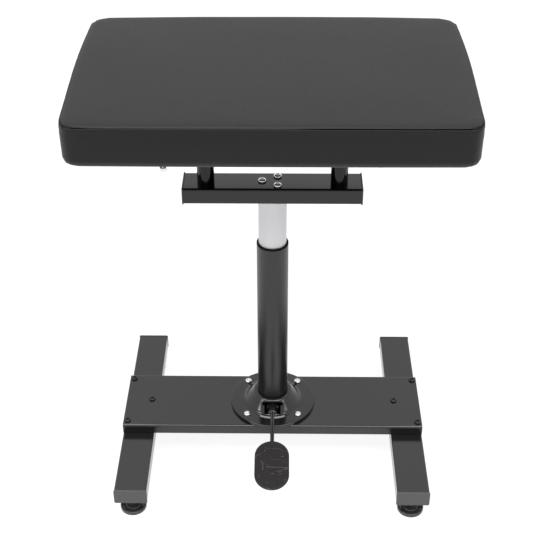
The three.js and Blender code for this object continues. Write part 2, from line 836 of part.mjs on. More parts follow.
/** The guide ring pushed into the lift tube's lower end. */
function guideRing() {
  const plugRadius = liftTubeRadius - liftTubeWall - runningGap;
  const low = liftTubeBottom - seatGap - guideRingFlange;
  const seat = liftTubeBottom - seatGap;
  const profile = [
    [plugRadius - guideRingWall, low],
    [sleeveBore - runningGap, low],
    [sleeveBore - runningGap, seat],
    [plugRadius, seat],
    [plugRadius, seat + guideRingSpigot],
    [plugRadius - guideRingWall, seat + guideRingSpigot],
    [plugRadius - guideRingWall, low],
  ];
  return turned(profile, columnSides);
}

function addLift() {
  const race = (bottom) => ring(journalBore, raceRadius, [bottom, bottom + raceThickness], turnedSides);
  place("lower_race", race(raceBottom), bearingSteel);
  place("ball_cage", ballCage(), bearingSteel);
  place("upper_race", race(upperRaceBottom), bearingSteel);
  place("piston_rod", pistonRod(), bearingSteel);
  place("rod_clip", rodClip(), blackScrew);
  const pistonRadii = [rodTipRadius + runningGap, cylinderBore - runningGap];
  const piston = ring(...pistonRadii, [pistonTop - pistonHeight, pistonTop], turnedSides);
  place("piston", piston, zincSteel);
  const pinSpan = [rodBottom - valvePinOut, rodBottom + valvePinReach];
  place("release_pin", upright(valvePinRadius, pinSpan, screwSides), zincSteel);
  place("gas_cylinder", gasCylinder(), blackPaint);
  place("lift_tube", liftTube(), silverTube);
  place("tube_guide_ring", guideRing(), blackPlastic);
}

// Pedal
const pivotZ = webBottom - pivotDrop;
const noseZ = rodBottom - valvePinOut - leverNoseDrop - leverNoseRadius;

/** The lever in the fork and the bent rod that carries the pad. */
function pedalArm() {
  const pivot = [-pivotInset, pivotZ];
  const stubEnd = [-pivotInset - leverStubLength, pivotZ + leverStubRise];
  const width = [-leverHalfWidth, leverHalfWidth];
  const nose = drawnAlongX(link(pivot, leverHubRadius, [0, noseZ], leverNoseRadius), width, leverSteps);
  const stub = drawnAlongX(link(stubEnd, leverStubRadius, pivot, leverHubRadius), width, leverSteps);
  const under = pedalThickness / 2 + seatGap + pedalRodRadius;
  const lean = THREE.MathUtils.degToRad(pedalTilt);
  const padPoint = (along) => {
    const y = -pedalReach + along * Math.cos(lean) + under * Math.sin(lean);
    return new THREE.Vector3(0, y, pedalHeight + along * Math.sin(lean) - under * Math.cos(lean));
  };
  const level = pivotZ + leverStubRise;
  const route = new THREE.CatmullRomCurve3([
    new THREE.Vector3(0, stubEnd[0], level),
    new THREE.Vector3(0, -(flangeRadius + pivotInset + leverStubLength) / 2, level),
    new THREE.Vector3(0, -flangeRadius - pedalRodRadius, level),
    padPoint(pedalLength / 2),
    padPoint(pedalLength / 4),
    padPoint(0),
  ]);
  const circle = new THREE.Shape().absarc(0, 0, pedalRodRadius, 0, 2 * Math.PI);
  const options = { steps: pedalRodSteps, extrudePath: route, curveSegments: leverSteps };
  const rod = solid(new THREE.ExtrudeGeometry(circle, { ...options, bevelEnabled: false }));
  const through = [-leverHalfWidth - overrun, leverHalfWidth + overrun];
  const pinHole = crosswise(pivotRadius + runningGap, through, screwSides, ...pivot);
  return cut(join(nose, stub, rod), pinHole);
}

/** The oval pad, with a rounded upper and lower edge. */
function pedalPad() {
  const corner = pedalWidth / 2 - pedalEdge;
  const oval = roundedRectangle(pedalWidth - 2 * pedalEdge, pedalLength - 2 * pedalEdge, corner);
  const body = pedalThickness - 2 * pedalEdge;
  const options = { depth: body, bevelEnabled: true, bevelSize: pedalEdge, bevelThickness: pedalEdge };
  const finely = { bevelSegments: crownSteps, curveSegments: pedalSteps };
  const geometry = new THREE.ExtrudeGeometry(oval, { ...options, ...finely });
  return solid(geometry.translate(0, 0, -body / 2));
}

/** The pivot pin with its head and the groove of its clip. */
function pivotPin() {
  const lugFar = leverHalfWidth + runningGap + lugThickness;
  const head = [-lugFar - seatGap - pivotHeadThickness, -lugFar - seatGap];
  const shank = [head[0], lugFar + seatGap + pivotEndLength];
  const pin = crosswise(pivotRadius, shank, screwSides, -pivotInset, pivotZ);
  const clipX = [lugFar + seatGap, lugFar + seatGap + pivotHeadThickness / 2];
  const clip = crosswise(pivotHeadRadius, clipX, screwSides, -pivotInset, pivotZ);
  return join(pin, crosswise(pivotHeadRadius, head, screwSides, -pivotInset, pivotZ), clip);
}

function addPedal() {
  place("pivot_pin", pivotPin(), zincSteel);
  place("pedal_arm", pedalArm(), blackPaint);
  const lean = THREE.MathUtils.degToRad(pedalTilt);
  place("pedal_pad", pedalPad(), blackRubber, [0, -pedalReach, pedalHeight], lean);
}

// Crossbar, posts and rails

/** The crossbar: a rectangular tube along X, with its screw holes. */
function crossbar() {
  const section = roundedRectangle(barDepth, barHeight, barCorner);
  const outer = drawnAlongX(section, [-barLength / 2, barLength / 2]);
  const hollow = [barDepth / 2 - barWall, barHeight / 2 - barWall];
  const ends = [-barLength / 2 - overrun, barLength / 2 + overrun];
  let body = cut(outer, block(ends, [-hollow[0], hollow[0]], [-hollow[1], hollow[1]]));
  const through = [-barHeight / 2 - overrun, barHeight / 2 + overrun];
  for (const [x, y] of barScrewPlaces()) {
    body = cut(body, upright(barScrewRadius + runningGap, through, screwSides, x, y));
  }
  return body;
}

/** A flat rail with holes, centred on the origin. */
function rail(length, width, holes) {
  const span = [-railThickness / 2, railThickness / 2];
  let body = block([-width / 2, width / 2], [-length / 2, length / 2], span);
  for (const y of holes) {
    const hole = [span[0] - overrun, span[1] + overrun];
    body = cut(body, upright(boltRadius + runningGap, hole, screwSides, 0, y));
  }
  return body;
}

function addCarrier() {
  place("crossbar", crossbar(), blackPaint, [0, 0, barBottom + barHeight / 2]);
  const capSizes = [barDepth, barHeight, barWall, barCorner, barCapLip, barCapThickness];
  const cap = tubeCap(...capSizes, barCapPlugDepth, barCapPlugWall);
  const post = ring(postRadius - postWall, postRadius, [0, postLength], turnedSides);
  const sideRail = rail(sideRailLength, sideRailWidth, [-boltSpacing / 2, boltSpacing / 2]);
  for (const [sideName, side] of sides) {
    const capGeometry = geometryOf(cap).rotateZ((side * Math.PI) / 2);
    const capX = side * (barLength / 2 + seatGap);
    place(`${sideName}_crossbar_cap`, capGeometry, capPlastic, [capX, 0, barBottom]);
    place(`${sideName}_post`, post, blackPaint, [side * (barLength / 2 - postInset), 0, postBottom]);
    const railPlace = [(side * sideRailSpacing) / 2, 0, sideRailBottom + railThickness / 2];
    place(`${sideName}_side_rail`, sideRail, blackPaint, railPlace);
  }
  const crossRailLength = sideRailSpacing + sideRailWidth + 2 * crossRailOverhang;
  const crossRail = geometryOf(rail(crossRailLength, crossRailWidth, [])).rotateZ(Math.PI / 2);
  place("cross_rail", crossRail, blackPaint, [0, 0, crossRailBottom + railThickness / 2]);
  const screwLength = barHeight + 2 * seatGap + barScrewGrip;
  const screw = buttonScrew(barScrewRadius, barScrewHeadRadius, barScrewHeadHeight, screwLength);
  barScrewPlaces().forEach(([x, y], index) => {
    place(`crossbar_screw_${index + 1}`, screw, zincSteel, [x, y, barTop + seatGap]);
  });
}

// Cushion

/** The cushion's outline drawn in by an inset: round corners, and sides bowed out towards their middles. */
function cushionOutline(inset) {
  const [halfX, halfY] = [cushionLength / 2 - cushionBow - inset, cushionDepth / 2 - cushionBow - inset];
  const corner = Math.max(cushionCorner - inset, cushionCorner / 4);
  const points = [];
  const centres = [
    [1, -1],
    [1, 1],
    [-1, 1],
    [-1, -1],
  ];
  centres.forEach(([sx, sy], quarter) => {
    const start = (quarter - 1) * (Math.PI / 2);
    for (let step = 0; step <= cushionCornerSteps; step += 1) {
      const angle = start + (step / cushionCornerSteps) * (Math.PI / 2);
      const x = sx * (halfX - corner) + corner * Math.cos(angle);
      points.push([x, sy * (halfY - corner) + corner * Math.sin(angle)]);
    }
    const [nextX, nextY] = centres[(quarter + 1) % 4];
    const [fromX, fromY] = points[points.length - 1];
    const toX = nextX * (nextX === sx ? halfX : halfX - corner);
    const toY = nextY * (nextY === sy ? halfY : halfY - corner);
    for (let step = 1; step < cushionSideSteps; step += 1) {
      const share = step / cushionSideSteps;
      points.push([fromX + (toX - fromX) * share, fromY + (toY - fromY) * share]);
    }
  });
  return points.map(([x, y]) => {
    const alongX = 1 - (x / halfX) ** 2;
    const alongY = 1 - (y / halfY) ** 2;
    const bowX = Math.sign(x) * cushionBow * Math.max(alongY, 0);
    const bowY = Math.sign(y) * cushionBow * Math.max(alongX, 0);
    return [x + bowX, y + bowY];
  });
}

/** A closed body lofted through cushion outlines, given as [inset, height] from the bottom up. */
function cushionLoft(levels) {
  const rings = levels.map(([inset, z]) => cushionOutline(inset).map(([x, y]) => [x, y, z]));
  const count = rings[0].length;
  const positions = rings.flat(2);
  const faces = [];
  for (let level = 0; level + 1 < rings.length; level += 1) {
    for (let step = 0; step < count; step += 1) {
      const next = (step + 1) % count;
      const [a, b] = [level * count + step, level * count + next];
      faces.push(a, b, b + count, a, b + count, a + count);
    }
  }
  const floor = positions.length / 3;
  const roof = floor + 1;
  positions.push(0, 0, levels[0][1], 0, 0, levels[levels.length - 1][1]);
  const last = (rings.length - 1) * count;
  for (let step = 0; step < count; step += 1) {
    const next = (step + 1) % count;
    faces.push(floor, next, step, roof, last + step, last + next);
  }
  const geometry = new THREE.BufferGeometry();
  geometry.setAttribute("position", new THREE.Float32BufferAttribute(positions, 3));
  geometry.setIndex(faces);
  return solid(geometry);
}

/** The cushion's levels, drawn in everywhere by a thickness: sides, a seam and a crowned top. */
function cushionLevels(thickness) {
  const widest = seamHeight - seamRound;
  const rise = cushionHeight - seamHeight;
  const crown = [
    [crownRound / 4, rise / 3],
    [crownRound, (rise * 2) / 3],
    [(crownRound + crownWidth) / 2, (rise * 9) / 10],
    [crownWidth, rise],
  ];
  return [
    [sideTaper + lowerRound, thickness],
    [sideTaper + lowerRound / 3, thickness + lowerRound / 3],
    [sideTaper, thickness + lowerRound],
    [0, widest - thickness],
    [seamRound / 2, seamHeight - thickness],
    ...crown.map(([out, up]) => [out, seamHeight + up - thickness]),
  ].map(([inset, z]) => [inset + thickness, cushionBottom + z]);
}

/** The sewn cover: sides, crowned top and a turn-in under the board. */
function cushionCover() {
  const opening = cushionOutline(coverWrap).map(([x, y]) => new THREE.Vector2(x, y));
  const mouth = drawnUp(new THREE.Shape(opening), [cushionBottom - overrun, boardBottom]);
  return cut(cushionLoft(cushionLevels(0)), cushionLoft(cushionLevels(coverThickness)), mouth);
}

function addCushion() {
  const bolt = (drop) => {
    const grip = drop + seatGap + railThickness + (boardBottom - sideRailBottom - railThickness) + boltGrip;
    const profile = [
      [0, -boltHeadHeight],
      [boltHeadRadius, -boltHeadHeight],
      [boltHeadRadius, 0],
      [boltRadius, 0],
      [boltRadius, grip],
      [0, grip],
    ];
    const socketDepth = boltHeadHeight * socketDepthShare;
    const socket = [-boltHeadHeight - overrun, -boltHeadHeight + socketDepth];
    return cut(turned(profile, screwSides), upright(boltHeadRadius * socketWidthShare, socket, 6));
  };
  const inner = cushionLevels(coverThickness + seatGap);
  const boardTop = boardBottom + boardThickness;
  const whole = cushionLoft(inner);
  const room = [-cushionLength, cushionLength];
  const below = block(room, room, [cushionBottom - overrun, boardTop + seatGap]);
  const aboveBoard = block(room, room, [boardTop, cushionBottom + cushionHeight + overrun]);
  let board = cut(whole, aboveBoard);
  for (const [sideName, side] of sides) {
    for (const [endName, end] of ends) {
      const [x, y] = [(side * sideRailSpacing) / 2, (end * boltSpacing) / 2];
      const hole = [cushionBottom - overrun, boardTop + overrun];
      board = cut(board, upright(boltRadius + runningGap, hole, screwSides, x, y));
      const drop = side < 0 && end < 0 ? proudBoltDrop : 0;
      place(`${endName}_${sideName}_bolt`, bolt(drop), zincSteel, [x, y, sideRailBottom - seatGap - drop]);
    }
  }
  place("cushion_board", board, plywood);
  place("foam_core", cut(whole, below), foam);
  place("cushion_cover", cushionCover(), darkLeather);
}

addBase();
addColumn();
addLift();
addPedal();
addCarrier();
addCushion();

export default armrest;
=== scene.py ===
import logging
import math
from dataclasses import dataclass
from enum import Enum
from typing import Callable, Iterable, Sequence

import bmesh
import bpy
from mathutils import Matrix, Vector, noise


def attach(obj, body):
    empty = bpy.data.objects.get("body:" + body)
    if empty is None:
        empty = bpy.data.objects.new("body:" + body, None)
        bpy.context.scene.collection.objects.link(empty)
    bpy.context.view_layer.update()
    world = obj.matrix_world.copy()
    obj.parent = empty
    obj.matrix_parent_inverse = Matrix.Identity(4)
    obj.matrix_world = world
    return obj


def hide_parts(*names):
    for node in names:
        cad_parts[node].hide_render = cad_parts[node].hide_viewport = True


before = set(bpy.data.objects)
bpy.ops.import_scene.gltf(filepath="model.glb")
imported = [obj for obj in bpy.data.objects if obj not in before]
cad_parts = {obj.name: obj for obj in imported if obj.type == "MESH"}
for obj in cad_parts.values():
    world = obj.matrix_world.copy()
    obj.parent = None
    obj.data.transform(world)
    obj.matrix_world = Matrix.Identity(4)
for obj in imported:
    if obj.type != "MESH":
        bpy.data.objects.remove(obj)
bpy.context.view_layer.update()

log = logging.getLogger("armrest")

Socket = bpy.types.NodeSocket
Point = tuple[float, float]
Corner = tuple[float, float, float]
Colour = tuple[float, float, float]

TURN = 2 * math.pi
WHITE = (1.0, 1.0, 1.0)

# Metres: between pieces that touch, past what a tool cuts, between faces of one piece, and a small round
GAP = 0.0003
PAST = 0.001
HAIR = 0.00001
FILLET = 0.0006

# Sides of a finely turned shape, and the angle in degrees above which an edge between faces shows
FINE = 96
SHARP_ABOVE = 30


# Shader maths


class Value:
    """A number inside a material's node tree that takes part in Python sums."""

    def __init__(self, graph: "Graph", socket: Socket) -> None:
        """Keeps the socket and the graph that it belongs to."""
        self.graph = graph
        self.socket = socket

    def _maths(self, operation: str, *terms: "Value | float") -> "Value":
        """The result of one Math node."""
        node = self.graph.add("ShaderNodeMath", {"operation": operation}, dict(enumerate(terms)))
        return Value(self.graph, node.outputs[0])

    def __add__(self, other: "Value | float") -> "Value":
        """This number plus another."""
        return self._maths("ADD", self, other)

    __radd__ = __add__

    def __sub__(self, other: "Value | float") -> "Value":
        """This number less another."""
        return self._maths("SUBTRACT", self, other)

    def __rsub__(self, other: "Value | float") -> "Value":
        """Another number less this one."""
        return self._maths("SUBTRACT", other, self)

    def __mul__(self, other: "Value | float") -> "Value":
        """This number times another."""
        return self._maths("MULTIPLY", self, other)

    __rmul__ = __mul__

    def at_most(self, other: "Value | float") -> "Value":
        """The lesser of two numbers."""
        return self._maths("MINIMUM", self, other)

    def at_least(self, other: "Value | float") -> "Value":
        """The greater of two numbers."""
        return self._maths("MAXIMUM", self, other)

    def size(self) -> "Value":
        """The number without its sign."""
        return self._maths("ABSOLUTE", self)

    def wave(self) -> "Value":
        """The sine of the number."""
        return self._maths("SINE", self)


class Graph:
    """A node tree, of a material or of the world, and the ways to add nodes to it."""

    def __init__(self, tree: bpy.types.NodeTree) -> None:
        """Empties the tree."""
        self.tree = tree
        tree.nodes.clear()

    def feed(self, socket: Socket, entry: "Value | Socket | float | Colour") -> None:
        """Links a socket to another, or sets it.

        Args:
            socket: the socket that takes something in.
            entry: what goes in; a colour of three numbers is opaque.
        """
        source = entry.socket if isinstance(entry, Value) else entry
        if isinstance(source, Socket):
            self.tree.links.new(source, socket)
        elif socket.type == "RGBA":
            socket.default_value = (*source, 1.0)
        else:
            socket.default_value = source

    def add(self, kind: str, settings: dict | None = None, inputs: dict | None = None) -> bpy.types.Node:
        """Adds any node.

        Args:
            kind: the node's type.
            settings: its own settings, set before its sockets.
            inputs: what each socket, by name or number, is linked or set to.

        Returns:
            The new node.
        """
        node = self.tree.nodes.new(kind)
        for key, setting in (settings or {}).items():
            setattr(node, key, setting)
        for key, entry in (inputs or {}).items():
            self.feed(node.inputs[key], entry)
        return node

    def place(self, scale: Sequence[float] = (1, 1, 1), turn: Sequence[float] = (0, 0, 0)) -> Socket:
        """Object coordinates, stretched and turned.

        Args:
            scale: the stretch along each axis.
            turn: the turn about each axis, in radians.

        Returns:
            The socket that holds them.
        """
        where = self.add("ShaderNodeTexCoord").outputs["Object"]
        inputs = {"Vector": where, "Rotation": turn, "Scale": scale}
        return self.add("ShaderNodeMapping", {"vector_type": "POINT"}, inputs).outputs[0]

    def axis(self, name: str, vector: Socket | None = None) -> Value:
        """One coordinate of a vector, by default of the Object coordinates."""
        source = vector or self.add("ShaderNodeTexCoord").outputs["Object"]
        return Value(self, self.add("ShaderNodeSeparateXYZ", {}, {0: source}).outputs[name])

    def noise(self, scale: float, detail: float = 3, rough: float = 0.5, at: Socket | None = None,
              distort: float = 0) -> Value:
        """Smooth noise.

        Args:
            scale: how many features there are in a metre.
            detail: how many finer layers it has.
            rough: how strong the finer layers are.
            at: the coordinates, by default the Object coordinates.
            distort: how far the pattern is drawn about.

        Returns:
            A number from 0 to 1.
        """
        inputs = {"Vector": at or self.place(), "Scale": scale, "Detail": detail, "Roughness": rough,
                  "Distortion": distort}
        return Value(self, self.add("ShaderNodeTexNoise", {}, inputs).outputs[0])

    def cells(self, scale: float, feature: str = "F1", at: Socket | None = None) -> Value:
        """A pattern of cells.

        Args:
            scale: how many cells there are in a metre.
            feature: what is measured inside each cell.
            at: the coordinates, by default the Object coordinates.

        Returns:
            The distance measured.
        """
        inputs = {"Vector": at or self.place(), "Scale": scale}
        node = self.add("ShaderNodeTexVoronoi", {"feature": feature}, inputs)
        return Value(self, node.outputs["Distance"])

    def attribute(self, name: str) -> Value:
        """A number stored on the mesh."""
        return Value(self, self.add("ShaderNodeAttribute", {"attribute_name": name}).outputs["Fac"])

    def ease(self, value: Value, low: float, high: float) -> Value:
        """A smooth step.

        Args:
            value: the number that passes it.
            low: where it is 0.
            high: where it is 1.

        Returns:
            The step's height at the value.
        """
        inputs = {"Value": value, "From Min": low, "From Max": high}
        node = self.add("ShaderNodeMapRange", {"interpolation_type": "SMOOTHSTEP"}, inputs)
        return Value(self, node.outputs[0])

    def blend(self, share: Value, first: "Colour | Socket", second: "Colour | Socket") -> Socket:
        """A colour between two, the first at a share of 0."""
        return self.add("ShaderNodeMix", {"data_type": "RGBA"}, {0: share, 6: first, 7: second}).outputs[2]


class MaterialGraph(Graph):
    """The node tree of one material, with its output and its main shader."""

    def __init__(self, name: str) -> None:
        """Starts an empty material.

        Args:
            name: the material's name.
        """
        self.material = bpy.data.materials.new(name)
        self.material.use_nodes = True
        super().__init__(self.material.node_tree)
        self.surface = self.add("ShaderNodeOutputMaterial").inputs["Surface"]
        self.shader = self.add("ShaderNodeBsdfPrincipled")
        self.feed(self.surface, self.shader.outputs[0])

    def set(self, **inputs: "Value | Socket | float | Colour") -> None:
        """Sets or links sockets of the main shader, named with _ for a space."""
        for key, entry in inputs.items():
            self.feed(self.shader.inputs[key.replace("_", " ")], entry)

    def bump(self, height: Value, depth: float) -> None:
        """Raises the surface by a height from 0 to 1 times depth, in metres."""
        self.set(Normal=self.add("ShaderNodeBump", {}, {"Distance": depth, "Height": height}).outputs[0])

    def cover(self, share: Value, shader: bpy.types.Node) -> None:
        """Lays another shader over the main one, as much of it as the share says."""
        inputs = {0: share, 1: self.shader.outputs[0], 2: shader.outputs[0]}
        self.feed(self.surface, self.add("ShaderNodeMixShader", {}, inputs).outputs[0])


# Finishes


class Slot(Enum):
    """The record's material slots."""

    POWDER_COAT = "black_powder_coat"
    CAP = "cap_plastic"
    COLLAR = "collar_plastic"
    FOOT = "foot_rubber"
    PEDAL = "pedal_rubber"
    TUBE = "lift_steel"
    ZINC = "zinc_steel"
    BLACK_SCREW = "black_screw"
    BEARING = "bearing_steel"
    CYLINDER = "cylinder_paint"
    LEATHER = "cushion_leather"
    FOAM = "foam"
    PLYWOOD = "plywood"


@dataclass(frozen=True)
class Finish:
    """What all finishes share: a name, a slot, a colour and a roughness."""

    name: str
    slot: Slot
    colour: Colour
    roughness: float

    def paint(self, graph: MaterialGraph) -> None:
        """Builds the finish in a graph; each finish has its own."""
        graph.set(Base_Color=self.colour, Roughness=self.roughness)

    def shade(self, factor: float) -> Colour:
        """The colour made lighter or darker."""
        return tuple(min(part * factor, 1) for part in self.colour)

    def material(self) -> bpy.types.Material:
        """The material, built the first time that it is asked for."""
        known = bpy.data.materials.get(self.name)
        if known:
            return known
        graph = MaterialGraph(self.name)
        self.paint(graph)
        return graph.material


@dataclass(frozen=True)
class PowderCoat(Finish):
    """Semi-gloss powder coat: a fine grain, slight orange peel and faint dust."""

    grain: float = 1400
    grain_depth: float = 0.00001
    peel: float = 260
    gloss_spread: float = 0.05
    bend: float = 1.58

    def paint(self, graph: MaterialGraph) -> None:
        """Builds the finish in a graph.

        Args:
            graph: the material's node tree.
        """
        grain = graph.noise(self.grain, 2, 0.6)
        peel = graph.noise(self.peel, 2, 0.4)
        cloud = graph.noise(9, 3, 0.55)
        dust = graph.ease(graph.noise(900, 1, 0.5), 0.70, 0.80) * 0.35
        graph.set(
            Base_Color=graph.blend(cloud * 0.6 + dust, self.shade(0.86), self.shade(1.5)),
            Roughness=(cloud - 0.5) * self.gloss_spread + (grain - 0.5) * 0.04 + self.roughness,
            IOR=self.bend,
        )
        graph.bump(grain * 0.6 + peel * 0.4, self.grain_depth)


@dataclass(frozen=True)
class MouldedPlastic(Finish):
    """Moulded plastic with a spark-eroded grain and faint flow marks."""

    grain: float = 1100
    grain_depth: float = 0.00006
    gloss: float = 0.5

    def paint(self, graph: MaterialGraph) -> None:
        """Builds the finish in a graph.

        Args:
            graph: the material's node tree.
        """
        grain = graph.noise(self.grain, 3, 0.6)
        flow = graph.noise(40, 2, 0.5, graph.place((1, 1, 5)), 0.8)
        graph.set(
            Base_Color=graph.blend(flow, self.shade(0.9), self.shade(1.12)),
            Roughness=(grain - 0.5) * 0.12 + (flow - 0.5) * 0.06 + self.roughness,
            Specular_IOR_Level=self.gloss,
        )
        graph.bump(grain, self.grain_depth)


@dataclass(frozen=True)
class MouldedRubber(Finish):
    """Rubber with a matt skin; scuffs are light scratches and pale rubbed spots."""

    scuffs: float = 0
    gloss: float = 0.35
    scuff_colour: Colour = (0.16, 0.155, 0.16)

    def paint(self, graph: MaterialGraph) -> None:
        """Builds the finish in a graph.

        Args:
            graph: the material's node tree.
        """
        skin = graph.noise(700, 3, 0.6)
        bloom = graph.noise(45, 3, 0.6)
        base = graph.blend(bloom, self.shade(0.88), self.shade(1.14))
        rubbed = graph.ease(graph.noise(330, 1, 0.5), 0.74, 0.8)
        for turn, scale, patch in ((0.35, 17, 61), (-0.6, 23, 47), (1.3, 19, 73), (2.2, 29, 55)):
            wave = graph.noise(scale, 1, 0.3, graph.place((0.6, 1.7, 1), (0, 0, turn)), 0.6)
            line = graph.ease((wave - 0.5).size(), 0.0045, 0.0015)
            patches = graph.noise(patch, 1, 0.5, graph.place((1, 1, 1), (0, 0, turn + 1)))
            share = graph.ease(patches, 0.56, 0.64)
            rubbed = rubbed.at_least(line * share)
        marks = rubbed * self.scuffs
        graph.set(
            Base_Color=graph.blend(marks, base, self.scuff_colour),
            Roughness=(skin - 0.5) * 0.15 - marks * 0.1 + self.roughness,
            Specular_IOR_Level=self.gloss,
        )
        graph.bump(skin * 0.8 - marks * 0.2, 0.00006)


@dataclass(frozen=True)
class SatinTube(Finish):
    """Drawn and satin-plated tube: fine lines along its length."""

    def paint(self, graph: MaterialGraph) -> None:
        """Builds the finish in a graph.

        Args:
            graph: the material's node tree.
        """
        lines = graph.noise(1800, 2, 0.6, graph.place((1, 1, 0.02)))
        cloud = graph.noise(14, 3, 0.5, graph.place((1, 1, 0.5)))
        graph.set(
            Base_Color=graph.blend(lines * 0.5 + cloud * 0.5, self.shade(0.9), self.shade(1.06)),
            Roughness=(lines - 0.5) * 0.16 + (cloud - 0.5) * 0.08 + self.roughness,
            Metallic=0.35,
        )
        graph.bump(lines, 0.000012)


@dataclass(frozen=True)
class PlatedSteel(Finish):
    """Plated or blackened steel: turned marks, cloudy sheen and small dull spots."""

    metallic: float = 1.0

    def paint(self, graph: MaterialGraph) -> None:
        """Builds the finish in a graph.

        Args:
            graph: the material's node tree.
        """
        turned = graph.noise(1500, 2, 0.6, graph.place((1, 1, 4)))
        cloud = graph.noise(160, 3, 0.6)
        spots = graph.ease(graph.noise(620, 2, 0.5), 0.62, 0.72)
        graph.set(
            Base_Color=graph.blend(cloud * 0.7 + spots * 0.3, self.shade(1.05), self.shade(0.78)),
            Roughness=(turned - 0.5) * 0.1 + spots * 0.08 + self.roughness,
            Metallic=self.metallic,
        )
        graph.bump(turned * 0.5 + spots * 0.5, 0.00002)


@dataclass(frozen=True)
class SewnLeather(Finish):
    """Imitation leather: pebbled grain, fine pores, a painted highlight along the front roll, painted floor
    light along the lower hem and painted shade in the seam's groove.
    """

    pebble: float = 620
    waver: float = 0.0011
    # How much lighter the colour is under the painted highlight on the roll and the painted floor light on
    # the hem.
    painted_light: float = 6.0
    # How dark the painted shade in the seam's groove is, as a share of the colour.
    thread: float = 0.2

    def paint(self, graph: MaterialGraph) -> None:
        """Builds the finish in a graph.

        Args:
            graph: the material's node tree.
        """
        drift = graph.noise(260, 2, 0.5)
        aside = graph.add("ShaderNodeCombineXYZ", {}, {0: drift, 1: 1 - drift, 2: drift}).outputs[0]
        wander = graph.add("ShaderNodeVectorMath", {"operation": "MULTIPLY_ADD"},
                           {0: aside, 1: (self.waver,) * 3, 2: graph.place()}).outputs[0]
        creases = graph.ease(graph.cells(self.pebble, "DISTANCE_TO_EDGE", wander), 0.02, 0.22)
        pores = graph.ease(graph.noise(2600, 1, 0.5), 0.3, 0.6)
        cloud = graph.noise(6, 3, 0.5)
        body = graph.blend(creases * 0.5 + cloud * 0.5, self.shade(0.85), self.shade(1.12))
        # The 'rubbed' attribute holds painted light: a painted highlight along the front roll and painted
        # floor light along the lower hem.
        graph.set(
            Base_Color=graph.blend(graph.attribute("rubbed"), body, self.shade(self.painted_light)),
            Roughness=(1 - creases) * 0.1 + (cloud - 0.5) * 0.06 + self.roughness,
            Specular_IOR_Level=0.25,
        )
        graph.bump(creases * 0.75 + pores * 0.25, 0.00007)
        # A dark matt shader laid over the seam's groove through the 'seam' attribute: painted shade, dark
        # under any light.
        thread = graph.add("ShaderNodeBsdfDiffuse", {}, {"Color": self.shade(self.thread), "Roughness": 1.0})
        graph.cover(graph.attribute("seam"), thread)


@dataclass(frozen=True)
class OpenFoam(Finish):
    """Polyurethane foam with open cells."""

    def paint(self, graph: MaterialGraph) -> None:
        """Builds the finish in a graph.

        Args:
            graph: the material's node tree.
        """
        cells = graph.cells(900)
        cloud = graph.noise(20, 2, 0.5)
        graph.set(
            Base_Color=graph.blend(cells * 0.7 + cloud * 0.3, self.shade(0.8), self.shade(1.05)),
            Roughness=(cells - 0.5) * 0.1 + self.roughness,
        )
        graph.bump(cells, 0.0003)


@dataclass(frozen=True)
class Plywood(Finish):
    """Birch plywood: long grain on its faces and plies on its edges."""

    ply: float = 0.0015

    def paint(self, graph: MaterialGraph) -> None:
        """Builds the finish in a graph.

        Args:
            graph: the material's node tree.
        """
        grain = graph.noise(60, 4, 0.6, graph.place((0.12, 1, 1)), 1.2)
        fibre = graph.noise(900, 2, 0.6, graph.place((0.05, 1, 1)))
        plies = (graph.axis("Z") * (math.pi / self.ply)).wave() * 0.5 + 0.5
        upright = graph.axis("Z", graph.add("ShaderNodeNewGeometry").outputs["Normal"]).size()
        edge = graph.ease(upright, 0.5, 0.3)
        face = graph.blend(grain * 0.7 + fibre * 0.3, self.shade(0.75), self.shade(1.15))
        layers = graph.blend(plies, self.shade(0.55), self.shade(1.05))
        graph.set(
            Base_Color=graph.blend(edge, face, layers),
            Roughness=(fibre - 0.5) * 0.2 + self.roughness,
        )
        graph.bump(grain * 0.5 + fibre * 0.5, 0.0001)


FRAME_COAT = PowderCoat("frame_powder_coat", Slot.POWDER_COAT, (0.011, 0.0108, 0.0113), 0.15)
BAR_COAT = PowderCoat("bar_powder_coat", Slot.POWDER_COAT, (0.003, 0.003, 0.0032), 0.13, bend=1.5)
SLEEVE_COAT = PowderCoat("sleeve_powder_coat", Slot.POWDER_COAT, (0.0055, 0.0055, 0.0058), 0.33)
# A darker, less reflective copy of the black powder coat: painted shade on the posts under the cushion.
SHADED_POST_COAT = PowderCoat("post_coat_painted_shade", Slot.POWDER_COAT, (0.002, 0.002, 0.0022), 0.16, bend=1.4)
CASTING_COAT = PowderCoat("casting_powder_coat", Slot.POWDER_COAT, (0.003, 0.003, 0.0032), 0.13, 900,
                          peel=200)
CAP_PLASTIC = MouldedPlastic("cap_moulding", Slot.CAP, (0.082, 0.082, 0.082), 0.5)
# Nylon coloured near black and made almost unreflective: painted shade for the dark gap where the tube leaves
# the sleeve. The plate's plug and the tube's guide ring share it.
SHADE_BLACK_NYLON = MouldedPlastic("shade_black_nylon", Slot.COLLAR, (0.004, 0.004, 0.004), 0.6, gloss=0.08)
FOOT_RUBBER = MouldedPlastic("foot_moulding", Slot.FOOT, (0.045, 0.045, 0.048), 0.14, 600, 0.00002)
PEDAL_RUBBER = MouldedRubber("pedal_skin", Slot.PEDAL, (0.0085, 0.0062, 0.0076), 0.55, 0.8)
TUBE_STEEL = SatinTube("satin_tube", Slot.TUBE, (0.78, 0.78, 0.795), 0.45)
ZINC = PlatedSteel("bright_zinc", Slot.ZINC, (0.78, 0.78, 0.76), 0.12)
OILED_PIN = PlatedSteel("oiled_pin", Slot.ZINC, (0.006, 0.006, 0.006), 0.5, 0.2)
OILED_ROD = PlatedSteel("oiled_rod", Slot.BEARING, (0.05, 0.05, 0.052), 0.35)
